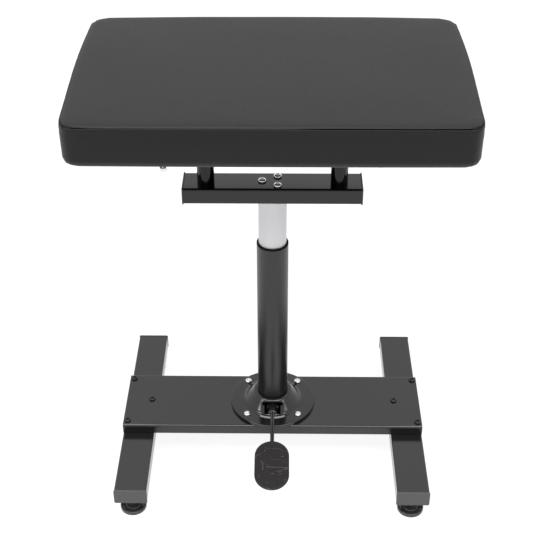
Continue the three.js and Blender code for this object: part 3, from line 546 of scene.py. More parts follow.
BLACK_STEEL = PlatedSteel("black_oxide", Slot.BLACK_SCREW, (0.03, 0.03, 0.031), 0.38, 0.6)
BEARING = PlatedSteel("ground_steel", Slot.BEARING, (0.56, 0.57, 0.58), 0.2)
CYLINDER_PAINT = PowderCoat("cylinder_enamel", Slot.CYLINDER, (0.02, 0.02, 0.02), 0.3, 1600, 0.00002)
LEATHER = SewnLeather("cushion_skin", Slot.LEATHER, (0.0075, 0.0075, 0.0078), 0.38)
FOAM = OpenFoam("seat_foam", Slot.FOAM, (0.7, 0.64, 0.5), 0.9)
PLYWOOD = Plywood("stained_ply", Slot.PLYWOOD, (0.05, 0.042, 0.035), 0.6)


# Shapes


def rounded(corners: Sequence[Corner], steps: int = 5, closed: bool = True) -> list[Point]:
    """Rounds the corners of a line.

    Args:
        corners: each corner's two coordinates and its radius; 0 keeps it sharp.
        steps: how many pieces an arc is drawn in.
        closed: whether the line goes back to its start.

    Returns:
        The points of the line, its first not repeated.
    """
    points: list[Point] = []
    count = len(corners)
    for index, (x, y, radius) in enumerate(corners):
        here = Vector((x, y))
        if radius <= 0 or (not closed and index in (0, count - 1)):
            points.append((x, y))
            continue
        back = Vector(corners[index - 1][:2]) - here
        ahead = Vector(corners[(index + 1) % count][:2]) - here
        half = back.angle(ahead) / 2
        reach = min(radius / math.tan(half), back.length * 0.499, ahead.length * 0.499)
        radius = reach * math.tan(half)
        middle = here + (back.normalized() + ahead.normalized()).normalized() * (radius / math.sin(half))
        start = here + back.normalized() * reach - middle
        sweep = start.angle_signed(here + ahead.normalized() * reach - middle)
        for step in range(steps + 1):
            spoke = start.copy()
            spoke.rotate(Matrix.Rotation(-sweep * step / steps, 2))
            points.append(tuple(middle + spoke))
    return points


def box_outline(width: float, height: float, radius: float, steps: int = 5,
                middle: Point = (0, 0)) -> list[Point]:
    """A rectangle with round corners.

    Args:
        width: its size in X.
        height: its size in Y.
        radius: of its corners.
        steps: how many pieces a corner is drawn in.
        middle: where its middle lies.

    Returns:
        Its points, anticlockwise.
    """
    x, y = middle
    signs = ((-1, -1), (1, -1), (1, 1), (-1, 1))
    return rounded([(x + sx * width / 2, y + sy * height / 2, radius) for sx, sy in signs], steps)


def belt(first: Point, first_radius: float, second: Point, second_radius: float,
         steps: int = 12) -> list[Point]:
    """The outline round two circles, as of a belt.

    Args:
        first: the middle of the first circle.
        first_radius: its radius.
        second: the middle of the second circle.
        second_radius: its radius.
        steps: how many pieces each arc is drawn in.

    Returns:
        Its points, anticlockwise.
    """
    along = Vector(second) - Vector(first)
    lean = math.atan2(along.y, along.x)
    spread = math.acos((first_radius - second_radius) / along.length)
    points = []
    for centre, radius, start, sweep in ((first, first_radius, lean + spread, TURN - 2 * spread),
                                         (second, second_radius, lean - spread, 2 * spread)):
        for step in range(steps + 1):
            angle = start + sweep * step / steps
            points.append((centre[0] + radius * math.cos(angle), centre[1] + radius * math.sin(angle)))
    return points


class Shape:
    """A mesh in the making, in metres."""

    def __init__(self) -> None:
        """Starts empty."""
        self.bm = bmesh.new()

    @classmethod
    def turned(cls, profile: Sequence[Point], sides: int = FINE) -> "Shape":
        """A profile turned round Z.

        Args:
            profile: radius and height of each point, up the outside; a ring's ends where it starts.
            sides: how many steps the full turn has.

        Returns:
            The closed shape.
        """
        shape = cls()
        ring = [shape.bm.verts.new((radius, 0, height)) for radius, height in profile]
        edges = [shape.bm.edges.new(pair) for pair in zip(ring, ring[1:])]
        bmesh.ops.spin(shape.bm, geom=ring + edges, axis=(0, 0, 1), cent=(0, 0, 0), dvec=(0, 0, 0),
                       angle=TURN, steps=sides, use_merge=True, use_duplicate=False)
        return shape.mended()

    @classmethod
    def cylinder(cls, radius: float, low: float, high: float, sides: int) -> "Shape":
        """A solid cylinder round Z."""
        return cls.turned([(0, low), (radius, low), (radius, high), (0, high)], sides)

    def drawn_out(self, faces: Sequence[bmesh.types.BMFace], by: Sequence[float]) -> list[bmesh.types.BMFace]:
        """Extrudes faces, and leaves no face inside.

        Args:
            faces: the faces to draw out.
            by: how far and which way.

        Returns:
            The faces at the new end.
        """
        edges = {edge for face in faces for edge in face.edges}
        grown = bmesh.ops.extrude_face_region(self.bm, geom=[*faces, *edges])["geom"]
        moved = [part for part in grown if isinstance(part, bmesh.types.BMVert)]
        bmesh.ops.translate(self.bm, verts=moved, vec=by)
        return [part for part in grown if isinstance(part, bmesh.types.BMFace)]

    @classmethod
    def prism(cls, outline: Sequence[Point], low: float, high: float) -> "Shape":
        """An outline in X and Y drawn out along Z.

        Args:
            outline: the points round it.
            low: where it starts.
            high: where it ends.

        Returns:
            The closed shape.
        """
        shape = cls()
        face = shape.bm.faces.new([shape.bm.verts.new((x, y, low)) for x, y in outline])
        shape.drawn_out([face], (0, 0, high - low))
        return shape.mended()

    @classmethod
    def pipe(cls, outer: Sequence[Point], inner: Sequence[Point], low: float, high: float) -> "Shape":
        """A hollow section in X and Y drawn out along Z.

        Args:
            outer: the points round its outside.
            inner: as many points round its inside.
            low: where it starts.
            high: where it ends.

        Returns:
            The closed shape.
        """
        shape = cls()
        loops = []
        for outline in (outer, inner):
            verts = [shape.bm.verts.new((x, y, low)) for x, y in outline]
            loops += [shape.bm.edges.new((verts[k - 1], verts[k])) for k in range(len(verts))]
        shape.drawn_out(bmesh.ops.bridge_loops(shape.bm, edges=loops)["faces"], (0, 0, high - low))
        return shape.mended()

    @classmethod
    def block(cls, low: Sequence[float], high: Sequence[float]) -> "Shape":
        """A block between two corners.

        Args:
            low: the corner with the least coordinates.
            high: the corner with the greatest.

        Returns:
            The block.
        """
        shape = cls()
        bmesh.ops.create_cube(shape.bm, size=1)
        size = [b - a for a, b in zip(low, high)]
        bmesh.ops.scale(shape.bm, vec=size, verts=shape.bm.verts[:])
        return shape.moved([(a + b) / 2 for a, b in zip(low, high)])

    @classmethod
    def thread(cls, radius: float, depth: float, pitch: float, low: float, high: float,
               sides: int = 32) -> "Shape":
        """A screw thread round Z: one pitch of its profile spun upwards, open at both ends.

        Args:
            radius: of its crest.
            depth: how much lower its root is.
            pitch: how far it rises in a turn.
            low: where it starts.
            high: where it ends at the latest.
            sides: how many steps a turn has.

        Returns:
            The thread's surface.
        """
        shape = cls()
        heights = ((0, -depth), (0.42, 0), (0.56, 0), (1, -depth))
        ring = [shape.bm.verts.new((radius + inwards, 0, low + pitch * share)) for share, inwards in heights]
        edges = [shape.bm.edges.new(pair) for pair in zip(ring, ring[1:])]
        turns = max(1, round((high - low) / pitch) - 1)
        bmesh.ops.spin(shape.bm, geom=ring + edges, axis=(0, 0, 1), cent=(0, 0, 0),
                       dvec=(0, 0, pitch / sides), angle=TURN * turns, steps=sides * turns,
                       use_merge=False, use_duplicate=False)
        return shape.mended()

    def mended(self) -> "Shape":
        """Merges doubled points and turns the faces outwards."""
        bmesh.ops.remove_doubles(self.bm, verts=self.bm.verts[:], dist=1e-6)
        bmesh.ops.dissolve_degenerate(self.bm, edges=self.bm.edges[:], dist=1e-7)
        bmesh.ops.recalc_face_normals(self.bm, faces=self.bm.faces[:])
        return self

    def moved(self, by: Sequence[float]) -> "Shape":
        """Moves the whole shape."""
        bmesh.ops.translate(self.bm, vec=by, verts=self.bm.verts[:])
        return self

    def turned_about(self, axis: str, degrees: float) -> "Shape":
        """Turns the whole shape about an axis through the origin.

        Args:
            axis: X, Y or Z.
            degrees: how far.

        Returns:
            The shape itself.
        """
        bmesh.ops.rotate(self.bm, cent=(0, 0, 0), matrix=Matrix.Rotation(math.radians(degrees), 3, axis),
                         verts=self.bm.verts[:])
        return self

    def along_x(self) -> "Shape":
        """Turns a shape drawn in X and Y along Z to one drawn in Y and Z along X."""
        swap = Matrix(((0, 0, 1), (1, 0, 0), (0, 1, 0))).to_4x4()
        bmesh.ops.transform(self.bm, matrix=swap, verts=self.bm.verts[:])
        return self

    def along_y(self) -> "Shape":
        """Turns a shape drawn in X and Y along Z to one drawn in X and Z along -Y."""
        return self.turned_about("X", 90)

    def copy(self) -> "Shape":
        """A separate copy."""
        twin = Shape()
        twin.bm.free()
        twin.bm = self.bm.copy()
        return twin

    def bevelled(self, radius: float, segments: int = 2,
                 chosen: Callable[[bmesh.types.BMEdge], bool] | None = None, sharper: float = 40) -> "Shape":
        """Rounds edges.

        Args:
            radius: how far the round reaches on each side.
            segments: how many pieces it is made in.
            chosen: which edges take part; all of them if None.
            sharper: only edges between faces that meet at more than this angle, in degrees.

        Returns:
            The shape itself.
        """
        limit = math.radians(sharper)
        edges = [edge for edge in self.bm.edges
                 if edge.is_manifold and edge.calc_face_angle(0) > limit and (chosen is None or chosen(edge))]
        bmesh.ops.bevel(self.bm, geom=edges, offset=radius, offset_type="OFFSET", segments=segments,
                        profile=0.5, affect="EDGES", clamp_overlap=True, material=-1)
        return self

    def joined(self, *others: "Shape") -> "Shape":
        """Lays other shapes beside this one in the same mesh."""
        for other in others:
            mesh = bpy.data.meshes.new("beside")
            other.bm.to_mesh(mesh)
            self.bm.from_mesh(mesh)
            bpy.data.meshes.remove(mesh)
        return self

    def worked(self, operation: str, *tools: "Shape") -> "Shape":
        """Unites, cuts or intersects the shape with others.

        Args:
            operation: UNION, DIFFERENCE or INTERSECT.
            tools: the other shapes, taken one by one.

        Returns:
            The shape itself.
        """
        for tool in tools:
            pair = [self.piece("work"), tool.piece("tool")]
            cutter = pair[0].modifiers.new("cut", "BOOLEAN")
            cutter.operation = operation
            cutter.solver = "EXACT"
            cutter.object = pair[1]
            done = pair[0].evaluated_get(bpy.context.evaluated_depsgraph_get())
            self.bm.clear()
            self.bm.from_mesh(done.to_mesh())
            for temporary in pair:
                mesh = temporary.data
                bpy.data.objects.remove(temporary)
                bpy.data.meshes.remove(mesh)
            self.mended()
        return self

    def piece(self, name: str) -> bpy.types.Object:
        """The shape as a new object, smooth with sharp edges where faces meet steeply.

        Args:
            name: the new object's name.

        Returns:
            The object, linked to the scene.
        """
        mesh = bpy.data.meshes.new(name)
        for face in self.bm.faces:
            face.smooth = True
        self.bm.to_mesh(mesh)
        mesh.set_sharp_from_angle(angle=math.radians(SHARP_ABOVE))
        thing = bpy.data.objects.new(name, mesh)
        bpy.context.scene.collection.objects.link(thing)
        return thing


def show(name: str, shape: Shape, finish: Finish, body: str, nodes: Iterable[str] = (),
         weighted: bool = True) -> bpy.types.Object:
    """Puts a finished piece into the scene.

    Args:
        name: the piece's name.
        shape: its mesh in its place.
        finish: what it is coated with or made of.
        body: the moving body that carries it.
        nodes: the CAD nodes that it stands for.
        weighted: whether large faces keep flat shading next to rounds.

    Returns:
        The new object.
    """
    thing = shape.piece(name)
    shape.bm.free()
    thing.data.materials.append(finish.material())
    if weighted:
        modifier = thing.modifiers.new("flat_faces", "WEIGHTED_NORMAL")
        modifier.keep_sharp = True
    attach(thing, body)
    if nodes:
        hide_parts(*nodes)
    log.info("%s: %d faces on %s", name, len(thing.data.polygons), body)
    return thing


def dress(node: str, finish: Finish) -> None:
    """Gives a CAD node that stays its finish.

    Args:
        node: the CAD node's name.
        finish: what it is finished with.
    """
    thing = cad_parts[node]
    for place in thing.material_slots:
        place.material = finish.material()
    log.info("%s keeps its CAD mesh in %s", node, finish.name)


# Fasteners


@dataclass
class ButtonScrew:
    """A button-head screw with a hexagon socket, its head on z = 0 and its shank below."""

    shank_radius: float
    head_radius: float
    head_height: float
    shank_length: float
    socket_share: float = 0.46
    sides: int = 48

    def shape(self) -> Shape:
        """The screw's mesh."""
        head, high, socket = self.head_radius, self.head_height, self.head_radius * self.socket_share
        edge = high * 0.32
        dome = []
        for share in (0, 0.15, 0.3, 0.5, 0.75, 1):
            height = edge + (high - edge) * math.sin(share * math.pi / 2)
            dome.append((head - (head - socket) * share ** 1.7 * 0.92, height))
        chamfer = self.shank_radius * 0.2
        profile = [
            (0, -self.shank_length), (self.shank_radius - chamfer, -self.shank_length),
            (self.shank_radius, -self.shank_length + chamfer), (self.shank_radius, 0), (head * 0.97, 0),
            (head, high * 0.05), *dome, (socket, high - (head - socket) * 0.05), (socket, high * 0.42),
            (socket * 0.6, high * 0.40), (0, high * 0.33),
        ]
        shape = Shape.turned(profile, self.sides)
        hexagon(shape, socket, high * 0.4, high)
        return shape


def hexagon(shape: Shape, radius: float, low: float, high: float) -> None:
    """Draws the round points of a socket or a collar in to the sides of a hexagon.

    Args:
        shape: the turned shape, whose sides are a multiple of six.
        radius: of the points to move, which becomes the hexagon's corners.
        low: the lowest height to work at.
        high: the highest.
    """
    for vert in shape.bm.verts:
        if low - 1e-6 <= vert.co.z <= high + 1e-6 and abs(vert.co.xy.length - radius) < 2e-5:
            angle = math.atan2(vert.co.y, vert.co.x) % (TURN / 6) - TURN / 12
            vert.co.xy *= math.cos(TURN / 12) / math.cos(angle)


# Base


@dataclass
class EndCap:
    """A plastic cap for a rectangular tube: its plate above z = 0, and its hollow plug below."""

    width: float
    height: float
    lip: float
    thickness: float
    corner: float
    edge: float
    plug_gap: float = 0.0023
    plug_wall: float = 0.0016
    plug_corner: float = 0.001
    plug_depth: float = 0.012

    def shape(self) -> Shape:
        """The cap's mesh."""
        lip, gap, wall = 2 * self.lip, 2 * self.plug_gap, 2 * self.plug_wall
        rim = box_outline(self.width + lip, self.height + lip, self.corner, 8)
        plate = Shape.prism(rim, 0, self.thickness)
        plate.bevelled(self.edge, 4, lambda side: all(vert.co.z > self.thickness / 2 for vert in side.verts))
        outer = box_outline(self.width - gap, self.height - gap, self.plug_corner)
        inner = box_outline(self.width - gap - wall, self.height - gap - wall, FILLET)
        return plate.joined(Shape.pipe(outer, inner, -self.plug_depth, -HAIR))


@dataclass
class Base:
    """Two legs of rectangular tube with caps, and the folded plate across them."""

    leg_x: float = 0.217
    leg_length: float = 0.380
    leg_width: float = 0.050
    leg_height: float = 0.025
    leg_wall: float = 0.002
    leg_corner: float = 0.0025
    leg_bottom: float = 0.031
    foot_y: float = 0.170
    nut_radius: float = 0.0075
    nut_height: float = 0.010
    nut_chamfer: float = 0.0005
    nut_bore: float = 0.0043
    cap_lip: float = 0.0005
    cap_thickness: float = 0.0025
    cap_corner: float = 0.0024
    cap_edge: float = 0.0007
    plate_length: float = 0.484
    plate_depth: float = 0.126
    plate_height: float = 0.017
    plate_sheet: float = 0.0025
    plate_bend: float = 0.004
    plate_edge: float = 0.0004
    plate_end_round: float = 0.0005
    plate_bottom: float = 0.0563
    plate_hole: float = 0.010
    bush_radius: float = 0.0055
    bush_bore: float = 0.0033
    flange_nut_radius: float = 0.0056
    flange_nut_height: float = 0.005
    flange_nut_chamfer: float = 0.0004
    plug_brim: float = 0.0025
    plug_wall: float = 0.0014
    plug_web: float = 0.0012
    screw_outer: float = 0.235
    screw_inner: float = 0.200
    screw_spread: float = 0.052
    screw_shank: float = 0.003
    screw_head: Point = (0.0052, 0.0033)
    screw_length: float = 0.0273

    def leg(self) -> Shape:
        """One leg with the welded nuts of its feet, centred on X, its underside at z = 0."""
        wall, span = self.leg_wall, self.leg_length / 2
        radius, high, chamfer = self.nut_radius, self.nut_height, self.nut_chamfer
        outer = box_outline(self.leg_width, self.leg_height, self.leg_corner)
        inner = box_outline(self.leg_width - 2 * wall, self.leg_height - 2 * wall, FILLET)
        leg = Shape.pipe(outer, inner, -span, span).along_y().moved((0, 0, self.leg_height / 2))
        for y in (-self.foot_y, self.foot_y):
            nut = Shape.turned([(0, wall / 2), (radius, wall / 2), (radius, high - chamfer),
                                (radius - chamfer, high), (0, high)], 6)
            bore = Shape.cylinder(self.nut_bore, -PAST, high + 2 * PAST, 32)
            leg.worked("UNION", nut.moved((0, y, 0))).worked("DIFFERENCE", bore.moved((0, y, 0)))
        return leg

    def cap(self) -> Shape:
        """An end cap: its plate faces -Y from y = 0, and its plug goes in along +Y."""
        cap = EndCap(self.leg_width, self.leg_height, self.cap_lip, self.cap_thickness, self.cap_corner,
                     self.cap_edge)
        return cap.shape().along_y().moved((0, 0, self.leg_height / 2))

    def plate(self) -> Shape:
        """The folded plate with its bushes and nuts, its lower edges at z = 0."""
        half, high, sheet, edge = self.plate_depth / 2, self.plate_height, self.plate_sheet, self.plate_edge
        wall, roof, inside = half - sheet, high - sheet, self.plate_bend - sheet
        section = rounded([
            (-half, 0, edge), (-half, high, self.plate_bend), (half, high, self.plate_bend), (half, 0, edge),
            (wall, 0, edge), (wall, roof, inside), (-wall, roof, inside), (-wall, 0, edge),
        ], 8)
        end = self.plate_length / 2
        plate = Shape.prism(section, -end, end).along_x()
        plate.bevelled(self.plate_end_round, 2,
                       lambda side: all(abs(abs(vert.co.x) - end) < HAIR for vert in side.verts))
        for x, y in self.screw_places():
            bush = Shape.cylinder(self.bush_radius, 0, roof + PAST, 24)
            bore = Shape.cylinder(self.bush_bore, -PAST, high + PAST, 24)
            plate.worked("UNION", bush.moved((x, y, 0))).worked("DIFFERENCE", bore.moved((x, y, 0)))
        radius, low = self.flange_nut_radius, roof - self.flange_nut_height
        nut = Shape.turned([(0, low), (radius - self.flange_nut_chamfer, low),
                            (radius, low + self.nut_chamfer), (radius, roof + PAST), (0, roof + PAST)], 6)
        for x, y in Housing.screw_places():
            plate.worked("UNION", nut.copy().moved((x, y, 0)))
        return plate.worked("DIFFERENCE", Shape.cylinder(self.plate_hole, -PAST, high + PAST, 64))

    def plug(self) -> Shape:
        """The dust plug pressed into the plate's hole from below, placed like the plate."""
        roof, hole, web = self.plate_height - self.plate_sheet, self.plate_hole - GAP, self.plug_web
        brim, skirt = hole + self.plug_brim, hole - self.plug_wall
        profile = rounded([
            (0, roof - web - GAP, 0), (brim, roof - web - GAP, FILLET), (brim, roof - GAP, FILLET / 2),
            (hole, roof - GAP, 0), (hole, roof + web, self.plate_edge),
            (skirt, roof + web, FILLET / 2), (skirt, roof, 0), (0, roof, 0),
        ], 4, closed=False)
        return Shape.turned(profile, 64)

    def screw_places(self) -> list[Point]:
        """Where the six black screws stand."""
        spread = self.screw_spread
        right = [(self.screw_outer, -spread), (self.screw_outer, spread), (self.screw_inner, 0)]
        return [(side * x, y) for side in (-1, 1) for x, y in right]

    def build(self) -> None:
        """Makes and dresses the base."""
        top = self.plate_bottom + self.plate_height
        leg, cap = self.leg(), self.cap()
        screw = ButtonScrew(self.screw_shank, *self.screw_head, self.screw_length)
        names = ("front", "rear", "inner")
        for index, (side, sign) in enumerate((("left", -1), ("right", 1))):
            place = (sign * self.leg_x, 0, self.leg_bottom)
            show(f"{side}_leg_tube", leg.copy().moved(place), FRAME_COAT, "root", [f"{side}_leg"])
            for end, way in (("front", -1), ("rear", 1)):
                twin = cap.copy() if way < 0 else cap.copy().turned_about("Z", 180)
                spot = (place[0], way * (self.leg_length / 2 + GAP), self.leg_bottom)
                show(f"{end}_{side}_leg_end", twin.moved(spot), CAP_PLASTIC, "root",
                     [f"{end}_{side}_leg_cap"])
            for name, (x, y) in zip(names, self.screw_places()[3 * index:]):
                show(f"{side}_base_screw_{name}", screw.shape().moved((x, y, top + GAP)), BLACK_STEEL, "root",
                     [f"{side}_leg_screw_{name}"])
        plate = self.plate().moved((0, 0, self.plate_bottom))
        show("folded_base_plate", plate, FRAME_COAT, "root", ["base_plate"])
        show("plate_hole_plug", self.plug().moved((0, 0, self.plate_bottom)), SHADE_BLACK_NYLON, "root")


@dataclass
class LevellingFoot:
    """A moulded foot with a hub, on a threaded stud with a hexagon collar."""

    x: float
    y: float
    name: str
    radius: float = 0.0204
    sole_chamfer: float = 0.0014
    rim_height: float = 0.007
    rim_width: float = 0.0030
    rim_round: float = 0.0026
    dish_depth: float = 0.0022
    dish_slope: float = 0.0032
    hub_radius: float = 0.0095
    hub_height: float = 0.019
    hub_foot: float = 0.0052
    hub_fillet: float = 0.006
    hub_round: float = 0.0045
    stud_radius: float = 0.004
    stud_bottom: float = 0.0093
    stud_top: float = 0.046
    stud_chamfer: Point = (0.0004, 0.0005)
    collar_radius: float = 0.0075
    collar_height: float = 0.007
    collar_chamfer: Point = (0.0007, 0.0005)
    pitch: float = 0.00125
    thread_depth: float = 0.0006

    def pad(self) -> Shape:
        """The moulded foot, its sole at z = 0."""
        radius, rim, chamfer, hub = self.radius, self.rim_height, self.sole_chamfer, self.hub_radius
        top_of_dish = radius - self.rim_width
        bore, floor = self.stud_radius + GAP, self.stud_bottom - GAP
        profile = rounded([
            (0, 0, 0), (top_of_dish, 0, 0), (radius - chamfer, 0, FILLET), (radius, chamfer, 0.001),
            (radius, rim, self.rim_round), (top_of_dish, rim, 0.0016),
            (top_of_dish - self.dish_slope, rim - self.dish_depth, 0.004),
            (hub, self.hub_foot, self.hub_fillet), (hub, self.hub_height, self.hub_round),
            (bore, self.hub_height, FILLET), (bore, floor, 0), (0, floor, 0),
        ], 6, closed=False)
        return Shape.turned(profile, FINE)

    def stud(self) -> Shape:
        """The stud with its collar."""
        radius, bottom, top = self.stud_radius, self.stud_bottom, self.stud_top
        (tip, start), (corner, drop) = self.stud_chamfer, self.collar_chamfer
        core, collar, low = radius - self.thread_depth, self.collar_radius, self.hub_height + GAP
        high = low + self.collar_height
        profile = [(0, bottom), (radius - tip, bottom), (radius, bottom + start), (radius, low),
                   (collar - corner, low), (collar, low + drop), (collar, high - drop),
                   (collar - corner, high), (radius, high), (core, high + tip), (core, top - tip / 2),
                   (0, top - tip / 2)]
        stud = Shape.turned(profile, 48)
        hexagon(stud, collar, low, high)
        return stud.joined(Shape.thread(radius, self.thread_depth, self.pitch, high, top - start))

    def build(self) -> None:
        """Makes and dresses the foot."""
        place, foot = (self.x, self.y, 0), f"{self.name}_foot"
        show(f"{foot}_moulding", self.pad().moved(place), FOOT_RUBBER, foot, [foot])
        show(f"{self.name}_threaded_stud", self.stud().moved(place), ZINC, f"{foot}_stud", [f"{foot}_stud"])


# Column


@dataclass
class Housing:
    """The cast housing: flange, cone with a framed window, fork and seat for the sleeve."""

    flange_radius: float = 0.069
    flange_bottom: float = 0.0736
    flange_top: float = 0.0786
    flange_edge: float = 0.0016
    cone_foot: float = 0.0465
    cone_top: float = 0.0295
    foot_fillet: float = 0.012
    lip_top: float = 0.0996
    lip_round: float = 0.0055
    wall: float = 0.005
    seat_radius: float = 0.0243
    web_top: float = 0.0978
    web_bottom: float = 0.0918
    web_fillet: float = 0.001
    spigot_radius: float = 0.0222
    spigot_wall: float = 0.0045
    spigot_top: float = 0.1148
    journal: float = 0.0053
    window_width: float = 0.035
    window_height: float = 0.020
    frame_width: float = 0.002
    frame_below: float = 0.0002
    frame_corner: float = 0.005
    frame_depth: float = 0.0023
    frame_round: float = 0.0011
    frame_root: float = 0.0075
    slot_depth: float = 0.0085
    top_slot: float = 0.0056
    top_corner: float = 0.0014
    side_slot: float = 0.0064
    side_corner: float = 0.0019
    lever_corner: float = 0.0015
    skin: float = 0.00012
    shelf_radius: float = 0.0455
    shelf_width: float = 0.009
    shelf_reach: float = 0.0514
    shelf_rise: float = 0.0020
    shelf_sunk: float = 0.0002
    shelf_round: float = 0.0008
    shelf_slope: float = 36
    shelf_end: float = 0.030
    lug_near: float = 0.0043
    lug_thickness: float = 0.0025
    lug_front: float = -0.0395
    lug_rear: float = -0.0225
    lug_bottom: float = 0.0778
    lug_top: float = 0.0931
    lug_round: float = 0.004
    soft_edge: float = 0.0006
    screw_bore: float = 0.0033
    screw_shank: float = 0.003
    screw_head: Point = (0.0054, 0.0036)
    screw_length: float = 0.0128

    @staticmethod
    def screw_places(circle: float = 0.058) -> list[Point]:
        """Where the flange's four screws stand, on a circle of that radius."""
        offset = circle * math.sqrt(0.5)
        return [(x, y) for y in (-offset, offset) for x in (-offset, offset)]

    def lean(self) -> float:
        """The cone's slope against the level, in radians."""
        return math.atan2(self.lip_top - self.flange_top, self.cone_foot - self.cone_top)

    def cone_at(self, z: float) -> float:
        """The cone's radius at a height."""
        share = (z - self.flange_top) / (self.lip_top - self.flange_top)
        return self.cone_foot + (self.cone_top - self.cone_foot) * share

    def on_slope(self, shape: Shape) -> Shape:
        """Lays a shape drawn in X and up the slope on the cone's front."""
        middle = (self.flange_top + self.lip_top) / 2
        return shape.turned_about("X", math.degrees(self.lean())).moved((0, -self.cone_at(middle), middle))

    def shelf(self) -> Shape:
        """The sloping shelf below the window, thickest in front and running out round the cone's foot."""
        low, high = self.flange_top - self.shelf_sunk, self.flange_top + self.shelf_rise
        foot, inner = self.shelf_radius, self.shelf_radius - self.shelf_width
        steep = math.tan(math.radians(self.shelf_slope))
        profile = rounded([
            (inner, low, 0), (foot + self.shelf_sunk / steep, low, 0),
            (foot - self.shelf_rise / steep, high, self.shelf_round), (inner, high, 0), (inner, low, 0),
        ], 4, closed=False)
        ring = Shape.turned(profile, 144).moved((0, self.shelf_radius - self.shelf_reach, 0))
        wide = self.flange_radius
        front = Shape.block((-wide, -wide, self.flange_bottom), (wide, -self.shelf_end, self.lip_top))
        return ring.worked("INTERSECT", front)

    def openings(self) -> list[list[Point]]:
        """The window's openings, in X and up the slope.

        Returns:
            The slot for the lever between the lugs, one slot on each side of them, and the slot across
            the top.
        """
        top, low = self.window_height / 2, -self.window_height / 2
        reach = top - self.top_slot + FILLET
        middle, high = (low + reach) / 2, reach - low
        beside = self.lug_near + self.lug_thickness + self.skin + self.side_slot / 2
        openings = [box_outline(2 * (self.lug_near - self.skin), high, self.lever_corner, 5, (0, middle))]
        openings += [box_outline(self.side_slot, high, self.side_corner, 5, (side * beside, middle))
                     for side in (-1, 1)]
        across = box_outline(self.window_width, self.top_slot, self.top_corner, 5,
                             (0, top - self.top_slot / 2))
        return [*openings, across]

    def casting(self) -> Shape:
        """The turned casting without its window."""
        across = self.wall / math.sin(self.lean())
        cavity = self.cone_at(self.flange_bottom) - across
        seat, spigot, bore = self.seat_radius, self.spigot_radius, self.spigot_radius - self.spigot_wall
        profile = rounded([
            (cavity, self.flange_bottom, 0), (self.flange_radius, self.flange_bottom, 0),
            (self.flange_radius, self.flange_top, self.flange_edge),
            (self.cone_foot, self.flange_top, self.foot_fillet),
            (self.cone_top, self.lip_top, self.lip_round), (seat, self.lip_top, FILLET),
            (seat, self.web_top, 0), (spigot, self.web_top, 0), (spigot, self.spigot_top, FILLET),
            (bore, self.spigot_top, FILLET),
            (bore, self.web_top, 0), (self.journal, self.web_top, 0), (self.journal, self.web_bottom, 0),
            (self.cone_at(self.web_bottom) - across, self.web_bottom, self.web_fillet),
            (cavity, self.flange_bottom, 0),
        ], 7, closed=False)
        return Shape.turned(profile, 144)

    def body(self) -> Shape:
        """The casting with its window, its frame, its shelf and its fork."""
        body = self.casting().worked("UNION", self.shelf())
        above, below = self.frame_width, self.frame_below
        border = box_outline(self.window_width + 2 * above, self.window_height + above + below,
                             self.frame_corner, 6, (0, (above - below) / 2))
        rim = Shape.prism(border, -self.frame_root, -self.frame_depth)
        rim.bevelled(self.frame_round, 4,
                     lambda edge: all(vert.co.z > -self.frame_depth - 1e-6 for vert in edge.verts))
        body.worked("UNION", self.on_slope(rim))
        body.worked("DIFFERENCE", self.on_slope(Shape.prism(border, -self.frame_depth, 2 * self.wall)))
        for opening in self.openings():
            body.worked("DIFFERENCE", self.on_slope(Shape.prism(opening, -self.slot_depth, self.wall)))
        outline = rounded([
            (self.lug_front, self.lug_bottom, self.lug_round),
            (self.lug_rear, self.lug_bottom, self.web_fillet),
            (self.lug_rear, self.lug_top, 0), (self.lug_front, self.lug_top, 0),
        ], 5)
        for side in (-1, 1):
            near, far = side * self.lug_near, side * (self.lug_near + self.lug_thickness)
            body.worked("UNION", Shape.prism(outline, min(near, far), max(near, far)).along_x())
        reach = self.lug_near + self.lug_thickness + PAST
        pin_hole = Shape.cylinder(Pedal.pin_radius + GAP, -reach, reach, 32).along_x()
        body.worked("DIFFERENCE", pin_hole.moved((0, *Pedal.pivot)))
        for x, y in self.screw_places():
            hole = Shape.cylinder(self.screw_bore, self.flange_bottom - PAST, self.flange_top + PAST, 24)
            body.worked("DIFFERENCE", hole.moved((x, y, 0)))
        return body

    def build(self) -> None:
        """Makes and dresses the housing and its screws."""
        housing = show("cast_column_housing", self.body(), CASTING_COAT, "root", ["column_housing"],
                       weighted=False)
        soften = housing.modifiers.new("cast_edges", "BEVEL")
        soften.width = self.soft_edge
        soften.segments = 3
        soften.limit_method = "ANGLE"
        soften.angle_limit = math.radians(50)
        soften.harden_normals = True
        names = [f"{end}_{side}" for end in ("front", "rear") for side in ("left", "right")]
        screw = ButtonScrew(self.screw_shank, *self.screw_head, self.screw_length)
        for name, (x, y) in zip(names, self.screw_places()):
            show(f"{name}_housing_screw", screw.shape().moved((x, y, self.flange_top + GAP)), ZINC, "root",
                 [f"{name}_flange_screw"])


